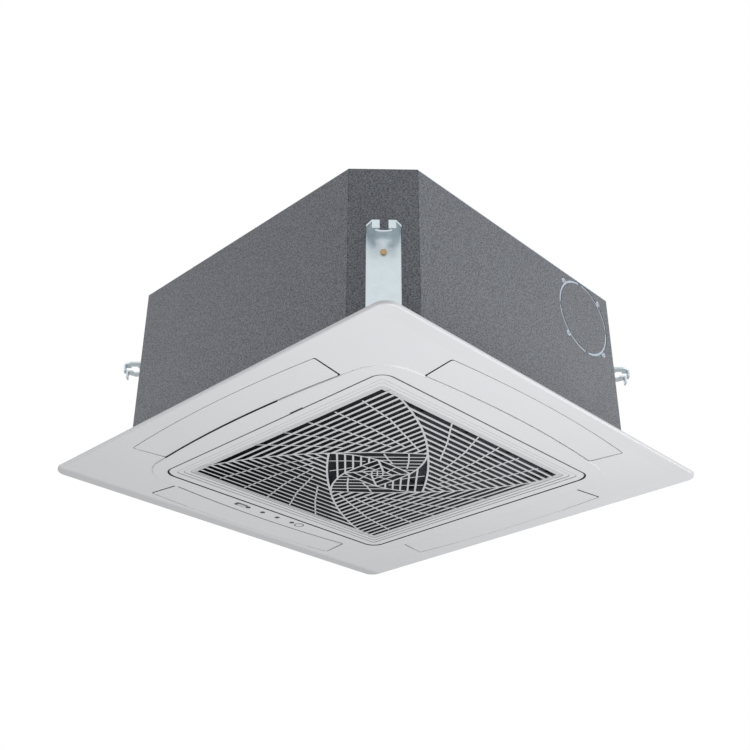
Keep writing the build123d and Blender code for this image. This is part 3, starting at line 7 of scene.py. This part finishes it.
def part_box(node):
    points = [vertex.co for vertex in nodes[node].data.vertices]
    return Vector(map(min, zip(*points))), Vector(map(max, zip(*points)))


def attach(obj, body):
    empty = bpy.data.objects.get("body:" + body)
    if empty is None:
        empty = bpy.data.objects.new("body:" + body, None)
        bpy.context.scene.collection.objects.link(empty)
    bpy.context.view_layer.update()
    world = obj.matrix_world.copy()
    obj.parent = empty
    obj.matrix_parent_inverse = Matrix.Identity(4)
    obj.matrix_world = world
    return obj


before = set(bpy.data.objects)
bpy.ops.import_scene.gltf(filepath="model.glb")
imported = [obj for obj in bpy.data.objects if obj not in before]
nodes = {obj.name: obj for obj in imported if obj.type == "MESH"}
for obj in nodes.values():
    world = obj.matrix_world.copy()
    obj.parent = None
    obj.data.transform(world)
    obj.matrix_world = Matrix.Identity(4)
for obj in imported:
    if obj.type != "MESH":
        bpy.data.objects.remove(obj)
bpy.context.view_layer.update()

# ------------------------------------------------------------------ camera
# The photograph looks up at the unit from below its near corner, (+X, -Y).

target = Vector((0.1346, -0.1450, 0.0550))
azimuth, elevation = radians(43.97), radians(-28.57)
distance = 1.4436
roll = radians(0.14)
image_size = 750
focal_pixels = 1075.2

back = Vector((sin(azimuth) * cos(elevation), -cos(azimuth) * cos(elevation), sin(elevation)))
camera_data = bpy.data.cameras.new("camera")
camera_data.sensor_width = 36.0
camera_data.lens = focal_pixels / image_size * camera_data.sensor_width
camera_data.clip_start = 0.05
camera_data.clip_end = 50.0
camera = bpy.data.objects.new("camera", camera_data)
bpy.context.collection.objects.link(camera)
camera.rotation_mode = "QUATERNION"
camera.location = target + back * distance
turn = (-back).to_track_quat("-Z", "Y").to_matrix() @ Matrix.Rotation(roll, 3, "Z")
camera.rotation_quaternion = turn.to_quaternion()
bpy.context.scene.camera = camera


# ------------------------------------------------------------------ materials

class Surface:
    """A node material that is built up from a plain shader."""

    def __init__(self, name, colour, roughness, metallic=0.0):
        self.material = bpy.data.materials.new(name)
        self.material.use_nodes = True
        self.tree = self.material.node_tree
        self.shader = self.tree.nodes["Principled BSDF"]
        self.shader.inputs["Base Color"].default_value = (*colour, 1)
        self.shader.inputs["Roughness"].default_value = roughness
        self.shader.inputs["Metallic"].default_value = metallic
        self.colour = colour
        self.place = self.node("ShaderNodeTexCoord").outputs["Object"]
        self.normal = None

    def node(self, kind, **inputs):
        made = self.tree.nodes.new(kind)
        for name, value in inputs.items():
            made.inputs[name.replace("_", " ")].default_value = value
        return made

    def link(self, source, target):
        self.tree.links.new(source, target)

    def noise(self, scale, detail=4.0, stretch=None):
        """Noise in metres: scale is in cycles per metre."""
        made = self.node("ShaderNodeTexNoise", Scale=scale, Detail=detail)
        place = self.place
        if stretch:
            mapping = self.node("ShaderNodeMapping", Scale=stretch)
            self.link(place, mapping.inputs["Vector"])
            place = mapping.outputs["Vector"]
        self.link(place, made.inputs["Vector"])
        return made.outputs["Fac"]

    def spread(self, source, low, high, low_at=0.3, high_at=0.7):
        """Maps a range of values, at first a texture's middle one, to low...high."""
        made = self.node("ShaderNodeMapRange")
        made.inputs["From Min"].default_value = low_at
        made.inputs["From Max"].default_value = high_at
        made.inputs["To Min"].default_value = low
        made.inputs["To Max"].default_value = high
        self.link(source, made.inputs["Value"])
        return made.outputs["Result"]

    def shade(self, *factors):
        """Multiplies the base colour by each factor."""
        colour = None
        for factor in factors:
            made = self.node("ShaderNodeMix")
            made.data_type = "RGBA"
            made.blend_type = "MULTIPLY"
            made.inputs["Factor"].default_value = 1
            if colour:
                self.link(colour, made.inputs["A"])
            else:
                made.inputs["A"].default_value = (*self.colour, 1)
            self.link(factor, made.inputs["B"])
            colour = made.outputs["Result"]
        self.link(colour, self.shader.inputs["Base Color"])

    def maths(self, operation, *values):
        """A calculation with numbers or with other nodes' results."""
        made = self.node("ShaderNodeMath")
        made.operation = operation
        for socket, value in zip(made.inputs, values):
            if isinstance(value, (int, float)):
                socket.default_value = value
            else:
                self.link(value, socket)
        return made.outputs["Value"]

    def vector(self, operation, source, value=(0, 0, 0)):
        """A calculation with a vector and a fixed one."""
        made = self.node("ShaderNodeVectorMath")
        made.operation = operation
        made.inputs[1].default_value = value
        self.link(source, made.inputs[0])
        return made.outputs

    def coordinate(self, direction):
        """How far a place lies along a direction from the unit's origin."""
        return self.vector("DOT_PRODUCT", self.place, direction)["Value"]

    def square_edge(self, half, corner):
        """Distance outside a rounded square about the unit's axis, below zero just inside it."""
        flat = half - corner
        place = self.vector("ABSOLUTE", self.place)["Vector"]
        beyond = self.vector("SUBTRACT", place, (flat, flat, 1000))["Vector"]
        beyond = self.vector("MAXIMUM", beyond)["Vector"]
        return self.maths("SUBTRACT", self.vector("LENGTH", beyond)["Value"], corner)

    def from_line(self, point, plane):
        """Distance from the line through a point that stands on a plane, given as (1, 1, 0) for XY."""
        flat = self.vector("MULTIPLY", self.place, plane)["Vector"]
        foot = tuple(a * b for a, b in zip(point, plane))
        return self.vector("DISTANCE", flat, foot)["Value"]

    def where(self, mask, factor):
        """A factor where a mask is 1, and 1 where it is 0."""
        return self.spread(mask, 1.0, factor, 0.0, 1.0)

    def band(self, distance, at, width, factor):
        """A factor where a distance is within half a width of a value, and 1 elsewhere."""
        return self.where(self.maths("COMPARE", distance, at, width / 2), factor)

    def across(self, low, high, reach=0.23):
        """A factor that goes from low near the unit's (-X, -Y) corner to high near its (+X, +Y) corner."""
        half = sqrt(0.5)
        return self.spread(self.coordinate((half, half, 0)), low, high, -reach, reach)

    def rough(self, factor):
        """Lets a node set the roughness."""
        self.link(factor, self.shader.inputs["Roughness"])

    def bump(self, height, distance):
        """Raises the surface by a distance where the height is 1, on top of what was there before."""
        made = self.node("ShaderNodeBump", Strength=1.0, Distance=distance)
        self.link(height, made.inputs["Height"])
        if self.normal:
            self.link(self.normal, made.inputs["Normal"])
        self.normal = made.outputs["Normal"]
        self.link(self.normal, self.shader.inputs["Normal"])

    def soft_edges(self, radius):
        """Rounds the look of sharp edges. It comes before any bump."""
        made = self.node("ShaderNodeBevel", Radius=radius)
        made.samples = 4
        self.normal = made.outputs["Normal"]
        self.link(self.normal, self.shader.inputs["Normal"])


def plain(made):
    """No marks of its own."""
    return []


def moulded_plastic(name, colour, roughness, grain=0.0000015, extra=plain):
    """Injection-moulded plastic: fine grain, faint flow marks and handling marks."""
    made = Surface(name, colour, roughness)
    made.soft_edges(0.0008)
    fine = made.noise(900, 2)
    marks = made.noise(7, 2)
    made.shade(made.spread(marks, 0.985, 1.0), made.spread(fine, 0.992, 1.0), *extra(made))
    made.rough(made.spread(marks, roughness - 0.02, roughness + 0.03))
    made.bump(fine, grain)
    return made


def textured_coat(name, colour, roughness, extra=plain):
    """Powder coat: a tight speckle with a soft orange peel."""
    made = Surface(name, colour, roughness)
    made.soft_edges(0.0006)
    speckle = made.noise(480, 3)
    cloud = made.noise(14, 3)
    made.shade(made.spread(speckle, 0.38, 1.7, 0.35, 0.65), made.spread(cloud, 0.97, 1.03), *extra(made))
    made.rough(made.spread(cloud, roughness - 0.03, roughness + 0.05))
    made.bump(speckle, 0.00003)
    return made


def plated_metal(name, colour, roughness):
    """Zinc or brass plate: faint spangle, rolling lines and dulled patches."""
    made = Surface(name, colour, roughness, metallic=1.0)
    made.soft_edges(0.0005)
    patches = made.noise(70, 3)
    lines = made.noise(120, 2, stretch=(1, 1, 14))
    made.shade(made.spread(patches, 0.9, 1.0), made.spread(lines, 0.94, 1.0))
    made.rough(made.spread(patches, roughness - 0.06, roughness + 0.12))
    made.bump(lines, 0.00002)
    return made


def bead_foam(name, colour):
    """Expanded foam: beads a few millimetres across."""
    made = Surface(name, colour, 0.75)
    cells = made.node("ShaderNodeTexVoronoi", Scale=260)
    made.link(made.place, cells.inputs["Vector"])
    made.shade(made.spread(cells.outputs["Distance"], 1.0, 0.88, 0.2, 0.8))
    made.bump(made.spread(cells.outputs["Distance"], 1.0, 0.0, 0.0, 0.9), 0.0003)
    return made


def finned(name, colour):
    """Stacked fins: fine upright lines between the modelled ones."""
    made = Surface(name, colour, 0.38, metallic=0.9)
    lines = made.noise(900, 1, stretch=(1, 1, 0.02))
    made.shade(made.spread(lines, 0.7, 1.0), made.spread(made.noise(30, 3), 0.92, 1.0))
    made.bump(lines, 0.0003)
    return made


def painted_falloff(made):
    """Painted shade: behind the grille the colour darkens towards the unit's (-X, -Y) corner, where the
    light falls off.
    """
    return [made.across(0.03, 2.2)]


def woven_net(name, colour):
    """Filter net: two sets of threads with dark gaps between them, and painted shade towards the (-X, -Y)
    corner.
    """
    made = Surface(name, colour, 0.6)
    waves = []
    for direction in ("X", "Y"):
        wave = made.node("ShaderNodeTexWave", Scale=260.0, Distortion=0.4)
        wave.bands_direction = direction
        made.link(made.place, wave.inputs["Vector"])
        waves.append(wave.outputs["Fac"])
    threads = made.maths("MAXIMUM", *waves)
    made.shade(
        made.spread(threads, 0.25, 1.1, 0.35, 0.9),
        made.spread(made.noise(25, 3), 0.8, 1.1),
        *painted_falloff(made),
    )
    made.bump(threads, 0.0003)
    return made


# ------------------------------------------------------------------ painted shade and marks at places on the unit

def square_reach(point):
    """How far out a point lies on a square about the unit's axis."""
    return max(abs(point.x), abs(point.y))


grille_reach = square_reach(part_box("intake_grille")[1])
panel_reach = square_reach(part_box("panel_frame")[1])
filter_reach = square_reach(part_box("filter_mesh")[1])

grille_corner = 0.020
gap_line_width = 0.0020
gap_line_shade = 0.09  # the share of the colour that is left, as in every shade below
near_starts, near_full = 0.022, 0.016  # where the near sides' painted shadow line begins, from the grille's edge inwards
step_insets = (0.0135, 0.0205, 0.0275)  # of the steps in the grille's border, from its edge
step_corner = 0.006
# painted shade: a grey line along each step in the border, where its small wall lies in shadow
step_line_width = 0.0011
step_line_shade = 0.45
border_margin = 0.001

first_bar = -0.1782
bar_pitch = 0.0116
flank_place, flank_half = 0.0018, 0.0005  # the painted shade line on each flank of a bar, from the bar's middle
bar_loss, side_bar_loss, side_flank_loss = 0.19, 0.22, 0.9  # the share of the colour that painted shade takes away
# the quarter of the whirl whose bars run along the -X side lies between two arms and an inner side
quarter_sides = (((-0.905, -0.425, 0), 0.09), ((-0.425, 0.905, 0), -0.09), ((-0.707, -0.707, 0), 0.07))
quarter_blur = 0.003


def painted_gap_line(made):
    """The painted shadow line along the grille's near sides. On the far sides the gap itself shows."""
    edge = made.square_edge(grille_reach, grille_corner)
    line = made.maths("COMPARE", edge, -gap_line_width / 2, gap_line_width / 2)
    nearest = made.maths("MAXIMUM", made.coordinate((1, 0, 0)), made.coordinate((0, -1, 0)))
    near = made.spread(nearest, 0.0, 1.0, grille_reach - near_starts, grille_reach - near_full)
    return made.where(made.maths("MULTIPLY", line, near), gap_line_shade)


def bar_shading(made):
    """Painted shade: bars are darkened inside the border, and those along the -X side get dark painted
    flanks as well.
    """
    inner = made.square_edge(grille_reach - step_insets[-1] - border_margin, step_corner)
    inside = made.maths("LESS_THAN", inner, -border_margin / 2)
    quarter = 1.0
    for facing, start in quarter_sides:
        quarter = made.maths("MINIMUM", quarter, made.maths("SUBTRACT", made.coordinate(facing), start))
    quarter = made.spread(quarter, 0.0, 1.0, -quarter_blur, quarter_blur)
    from_first = made.maths("SUBTRACT", made.coordinate((1, 0, 0)), first_bar)
    off_bar = made.maths("PINGPONG", from_first, bar_pitch / 2)
    flank = made.maths("COMPARE", off_bar, flank_place, flank_half)
    loss = made.maths("MULTIPLY", quarter, made.spread(flank, side_bar_loss, side_flank_loss, 0.0, 1.0))
    loss = made.maths("MAXIMUM", loss, bar_loss)
    return made.maths("SUBTRACT", 1.0, made.maths("MULTIPLY", inside, loss))


def grille_painted_shade(made):
    """Painted shade: the shadow line round the grille, grey lines along the steps in its border and the
    shade on its bars.
    """
    found = [painted_gap_line(made)]
    for inset in step_insets:
        edge = made.square_edge(grille_reach - inset, step_corner)
        found.append(made.band(edge, 0.0, step_line_width, step_line_shade))
    found.append(bar_shading(made))
    return found


window_low, window_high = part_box("receiver_window")
receiver_x = (window_low[0] + window_high[0]) / 2
window_shadow_x = 0.0012  # where the painted shadow on the +X side begins, from the window's middle
window_shadow_y = 0.0075  # how far the painted shadow reaches from the -Y end
window_shadow_shade = 0.05
lens_places = (-0.047, -0.017, 0.014, 0.046)
lens_seat_width, lens_seat_shade = 0.0086, 0.05
button_y = 0.062
button_ring_radius, button_ring_width, button_ring_shade = 0.0072, 0.0022, 0.14

# the arc on which the raised ring meets the -X flap
flap_arc_radius = 1.6536
flap_arc_reach = 0.2617
flap_arc_centre = (flap_arc_radius - flap_arc_reach, 0, 0)
flap_half_length = 0.175
flap_line_inset, flap_line_half, flap_line_shade = 0.0021, 0.0013, 0.12
rim_starts, rim_full = 0.024, 0.016  # where the painted shade on the -X rim, which turns away from the light, begins and is full, from its edge inwards
rim_shade = 0.80


def window_painted_shadow(made):
    """A receiver window with a painted shadow of its recess along its -Y and +X sides."""
    pale_x = made.maths("LESS_THAN", made.coordinate((1, 0, 0)), receiver_x + window_shadow_x)
    pale_y = made.maths("GREATER_THAN", made.coordinate((0, 1, 0)), window_low[1] + window_shadow_y)
    return [made.spread(made.maths("MULTIPLY", pale_x, pale_y), window_shadow_shade, 1.0, 0.0, 1.0)]


def flap_shadow_line(made):
    """The painted shadow line of the raised ring along the -X flap."""
    arc = made.from_line(flap_arc_centre, (1, 1, 0))
    line = made.maths("COMPARE", arc, flap_arc_radius - flap_line_inset, flap_line_half)
    beside = made.maths("ABSOLUTE", made.coordinate((0, 1, 0)))
    line = made.maths("MULTIPLY", line, made.maths("LESS_THAN", beside, flap_half_length))
    return made.where(line, flap_line_shade)


def panel_marks_and_shade(made):
    """The -X flap's painted shadow line, painted shade on the -X rim, dark seats round the lamps and the
    ring round the test button.
    """
    outwards = made.coordinate((-1, 0, 0))
    rim = made.spread(outwards, 1.0, rim_shade, panel_reach - rim_starts, panel_reach - rim_full)
    found = [flap_shadow_line(made), rim]
    for y in lens_places:
        from_lens = made.from_line((receiver_x, y, 0), (1, 1, 0))
        found.append(made.band(from_lens, 0.0, lens_seat_width, lens_seat_shade))
    from_button = made.from_line((receiver_x, button_y, 0), (1, 1, 0))
    found.append(made.band(from_button, button_ring_radius, button_ring_width, button_ring_shade))
    return found


knockout_y, knockout_z = 0.150, 0.212
knockout_screw_spacing = 0.090
bare_ring_radius, bare_ring_width = 0.0035, 0.0022
bare_metal_gain = 4.5  # how much paler bare metal is than the coat


def cabinet_marks(made):
    """Bare metal round the four holes beside the knockout, which is on the +X wall."""
    found = []
    on_wall = made.maths("GREATER_THAN", made.coordinate((1, 0, 0)), 0.0)
    offset = knockout_screw_spacing / 2
    for y in (knockout_y - offset, knockout_y + offset):
        for z in (knockout_z - offset, knockout_z + offset):
            from_hole = made.from_line((0, y, z), (0, 1, 1))
            ring = made.maths("COMPARE", from_hole, bare_ring_radius, bare_ring_width / 2)
            found.append(made.where(made.maths("MULTIPLY", ring, on_wall), bare_metal_gain))
    return found


# ------------------------------------------------------------------ the unit's materials

white = (0.645, 0.65, 0.67)
coat_grey = (0.117, 0.126, 0.145)
bare_steel = (0.62, 0.72, 0.82)

panel_white = moulded_plastic("panel_white", white, 0.22)
panel_face = moulded_plastic("panel_face", white, 0.22, extra=panel_marks_and_shade)
grille_white = moulded_plastic("grille_white", white, 0.22, extra=grille_painted_shade)
# painted shade: a dark plastic for the white walls of the gaps, which lie in shadow
gap_shadow = moulded_plastic("gap_shadow", (0.03, 0.031, 0.034), 0.6)
# painted shade: a dark plastic for the white bars' flanks, which lie in shadow, with the painted falloff as
# well
flank_shade = moulded_plastic("flank_shade", (0.05, 0.053, 0.058), 0.5, extra=painted_falloff)
shadow_plastic = moulded_plastic("shadow_plastic", (0.03, 0.032, 0.035), 0.5)
# painted light: a paler white for the ring's wall where it faces the lamps
lit_wall = moulded_plastic("lit_wall", (0.95, 0.95, 0.96), 0.4)
cabinet_coat = textured_coat("cabinet_coat", coat_grey, 0.5)
wall_coat = textured_coat("wall_coat", coat_grey, 0.5, extra=cabinet_marks)
zinc = plated_metal("zinc", (0.70, 0.78, 0.82), 0.34)
dull_zinc = plated_metal("dull_zinc", (0.52, 0.54, 0.56), 0.42)
brass = plated_metal("brass", (0.50, 0.37, 0.21), 0.24)
copper = plated_metal("copper", (0.72, 0.40, 0.27), 0.30)
fins = finned("fins", (0.60, 0.66, 0.72))
pale_foam = bead_foam("pale_foam", (0.62, 0.72, 0.82))
dark_foam = bead_foam("dark_foam", (0.05, 0.05, 0.055))
net = woven_net("net", (0.05, 0.058, 0.07))
motor_coat = textured_coat("motor_coat", (0.09, 0.09, 0.095), 0.4)
bare_edge = moulded_plastic("bare_edge", bare_steel, 0.5)
rubber = moulded_plastic("rubber", (0.02, 0.02, 0.02), 0.6)
board = moulded_plastic("board", (0.03, 0.13, 0.06), 0.35)
smoked = moulded_plastic("smoked", (0.015, 0.016, 0.018), 0.12)
window = moulded_plastic("window", (0.5, 0.5, 0.52), 0.15, extra=window_painted_shadow)

# little gloss reaches the eye from deep inside
for deep in (gap_shadow, flank_shade, shadow_plastic, net):
    deep.shader.inputs["Specular IOR Level"].default_value = 0.15

four_sides = (1, 2, 3, 4)  # the corners have the same numbers
finishes = {
    panel_face: ["panel_frame"],
    grille_white: ["intake_grille"],
    panel_white: [
        "outlet_frame",
        "intake_collar",
        "grille_latch",
        "test_button",
        "grille_hinge_pins",
        *[f"louver_{n}" for n in four_sides],
    ],
    wall_coat: ["cabinet_shell"],
    cabinet_coat: ["top_plate", "pipe_cover"],
    zinc: [f"hanger_bracket_{n}" for n in four_sides],
    dull_zinc: [
        "coil_end_plates",
        "control_box",
        "control_box_cover",
        "pump_bracket",
        "motor_shaft",
        "fan_nut",
        "motor_bolts",
        "bell_screws",
        "panel_screws",
    ],
    brass: ["bracket_screws", "gas_union", "liquid_union"],
    copper: ["coil_return_bends", "gas_pipe", "liquid_pipe"],
    fins: ["coil_fin_pack"],
    pale_foam: ["insulation_liner", "drain_pan"],
    dark_foam: ["panel_gasket"],
    net: ["filter_mesh"],
    shadow_plastic: [
        "inlet_bell",
        "turbo_fan",
        "drain_pump",
        "float_guide",
        "switch_float",
        "drain_outlet",
        "terminal_block",
        "filter_frame",
    ],
    motor_coat: ["fan_motor", *[f"louver_motor_{n}" for n in four_sides]],
    rubber: ["motor_mounts", "cable_grommet", "drain_hose"],
    board: ["circuit_board", "receiver_board"],
    smoked: ["indicator_lenses"],
    window: ["receiver_window"],
}

for finish, names in finishes.items():
    for name in names:
        slots = nodes[name].data.materials
        for n in range(len(slots)):
            slots[n] = finish.material


def repaint(name, chosen, finish):
    """Gives the polygons that a rule chooses a finish of their own."""
    mesh = nodes[name].data
    mesh.materials.append(finish.material)
    for polygon in mesh.polygons:
        if chosen(polygon.center, polygon.normal):
            polygon.material_index = len(mesh.materials) - 1


upright = 0.35  # an upright face's normal has a Z part below this
edge_margin = 0.004
ring_inset, ring_outset = 0.03, 0.01  # the raised ring and what belongs to it, from the grille's edge
rim_width = 0.03
louver_face = -0.001  # what lies below this is a louver's edge or its face
lit_facing = 0.6
edge_facing = 0.9
lit_start = 0.06  # where the light from the right reaches the ring's wall on the -Y side


def is_upright(facing):
    return abs(facing.z) < upright


def in_gap_zone(at):
    """Between the grille's border and the panel's rim, where the narrow gaps are."""
    return grille_reach - ring_inset < square_reach(at) < panel_reach - rim_width


def outside_ring(at):
    return square_reach(at) > grille_reach + ring_outset


def beside_flap(at):
    return min(abs(at.x), abs(at.y)) < flap_half_length + edge_margin


def is_lit_wall(at, facing):
    """The ring's outer wall where it faces the light: all of +X and the right part of -Y."""
    on_near_right = facing.x > lit_facing and at.x > 0
    on_near_left = facing.y < -lit_facing and at.y < 0 and at.x > lit_start
    return in_gap_zone(at) and outside_ring(at) and (on_near_right or on_near_left)


def is_panel_gap(at, facing):
    """The walls of the panel's gaps round the grille and the flaps that lie in shadow."""
    in_gap = beside_flap(at) or not outside_ring(at)
    return is_upright(facing) and in_gap_zone(at) and in_gap and not is_lit_wall(at, facing)


def is_grille_edge(at, facing):
    return is_upright(facing) and square_reach(at) > grille_reach - edge_margin


def is_bar_flank(at, facing):
    return is_upright(facing) and square_reach(at) < filter_reach


def is_louver_edge(at, facing):
    return is_upright(facing) and at.z < louver_face


# painted shade: the gap walls in shadow get a dark plastic, and below so do the collar's walls, the grille's
# edge, the bars' flanks and the louvers' edges
repaint("panel_frame", is_panel_gap, gap_shadow)
# painted light: the ring's wall where it faces the lamps gets a paler white
repaint("panel_frame", is_lit_wall, lit_wall)
repaint("intake_collar", lambda at, facing: is_upright(facing), gap_shadow)
repaint("intake_grille", is_grille_edge, gap_shadow)
repaint("intake_grille", is_bar_flank, flank_shade)
for n in four_sides:
    repaint(f"louver_{n}", is_louver_edge, gap_shadow)
# behind the knockout's slot the folded edge of the top is bare metal
repaint("top_plate", lambda at, facing: facing.x > edge_facing, bare_edge)


# ------------------------------------------------------------------ cabinet seams
# The folded sheets meet at the cut corners: a filler of their colour stands inside each seam.

shell_low, shell_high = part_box("cabinet_shell")
wall = square_reach(shell_high)
corner_cut = 0.064
filler_half = 0.0004
filler_depth = 0.0007  # of the filler's middle below the wall's face
filler_end = 0.001  # from the filler's ends to the ends of the cabinet's walls
square = ((-1, -1), (1, -1), (1, 1), (-1, 1))
box_sides = [(0, 1, 5, 4), (1, 2, 6, 5), (2, 3, 7, 6), (3, 0, 4, 7), (3, 2, 1, 0), (4, 5, 6, 7)]


def seam_filler(x, y):
    """A thin upright bar at a place inside a seam."""
    corners = [
        (x + a * filler_half, y + b * filler_half, z)
        for z in (shell_low[2] + filler_end, shell_high[2] - filler_end)
        for a, b in square
    ]
    mesh = bpy.data.meshes.new("seam_filler")
    mesh.from_pydata(corners, [], box_sides)
    mesh.materials.append(cabinet_coat.material)
    filler = bpy.data.objects.new("seam_filler", mesh)
    bpy.context.collection.objects.link(filler)
    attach(filler, "unit")


beside_wall = wall - filler_depth
beside_cut = wall - corner_cut - filler_depth / 2
for sign_x in (-1, 1):
    for sign_y in (-1, 1):
        for x, y in ((beside_wall, beside_cut), (beside_cut, beside_wall)):
            seam_filler(sign_x * x, sign_y * y)


# ------------------------------------------------------------------ light and stage
# Daylight all round, a broad lamp on the right, a weaker one on the left and a small one below.

lamp_target = Vector((0, 0, 0.1))


def area_light(name, place, size, power):
    """A round lamp that shines at the unit and isn't seen itself."""
    data = bpy.data.lights.new(name, "AREA")
    data.shape = "DISK"
    data.size = size
    data.energy = power
    lamp = bpy.data.objects.new(name, data)
    bpy.context.collection.objects.link(lamp)
    lamp.location = place
    lamp.rotation_mode = "QUATERNION"
    lamp.rotation_quaternion = (lamp_target - Vector(place)).to_track_quat("-Z", "Y")
    lamp.visible_camera = False


area_light("right", (3.6, 3.6, 0.8), size=2.4, power=66)
area_light("left", (-3.6, -3.6, 0.8), size=2.4, power=36)
area_light("below", (0.75, -0.1, -1.0), size=0.9, power=8.6)

sky_light = 0.57
sky_seen = 1.0  # where the camera, glass or a gloss looks at it
world = bpy.data.worlds.new("studio")
bpy.context.scene.world = world
world.use_nodes = True
sky = world.node_tree
surroundings = sky.nodes["Background"]
surroundings.inputs["Color"].default_value = (1, 1, 1, 1)
seen = sky.nodes.new("ShaderNodeLightPath")
ray = seen.outputs["Is Camera Ray"]
for kind in ("Is Transmission Ray", "Is Glossy Ray"):
    most = sky.nodes.new("ShaderNodeMath")
    most.operation = "MAXIMUM"
    sky.links.new(ray, most.inputs[0])
    sky.links.new(seen.outputs[kind], most.inputs[1])
    ray = most.outputs["Value"]
level = sky.nodes.new("ShaderNodeMapRange")
level.inputs["To Min"].default_value = sky_light
level.inputs["To Max"].default_value = sky_seen
sky.links.new(ray, level.inputs["Value"])
sky.links.new(level.outputs["Result"], surroundings.inputs["Strength"])

floor_level = -2.3
floor_half = 12.0
floor_mesh = bpy.data.meshes.new("floor")
floor_mesh.from_pydata(
    [(x * floor_half, y * floor_half, floor_level) for x, y in square],
    [],
    [(0, 1, 2, 3)],
)
floor = bpy.data.objects.new("floor", floor_mesh)
bpy.context.collection.objects.link(floor)
paper = Surface("paper", (0.9, 0.9, 0.9), 0.8)
paper.shade(paper.spread(paper.noise(3, 2), 0.99, 1.0))
floor_mesh.materials.append(paper.material)

bpy.context.scene.view_settings.view_transform = "Standard"
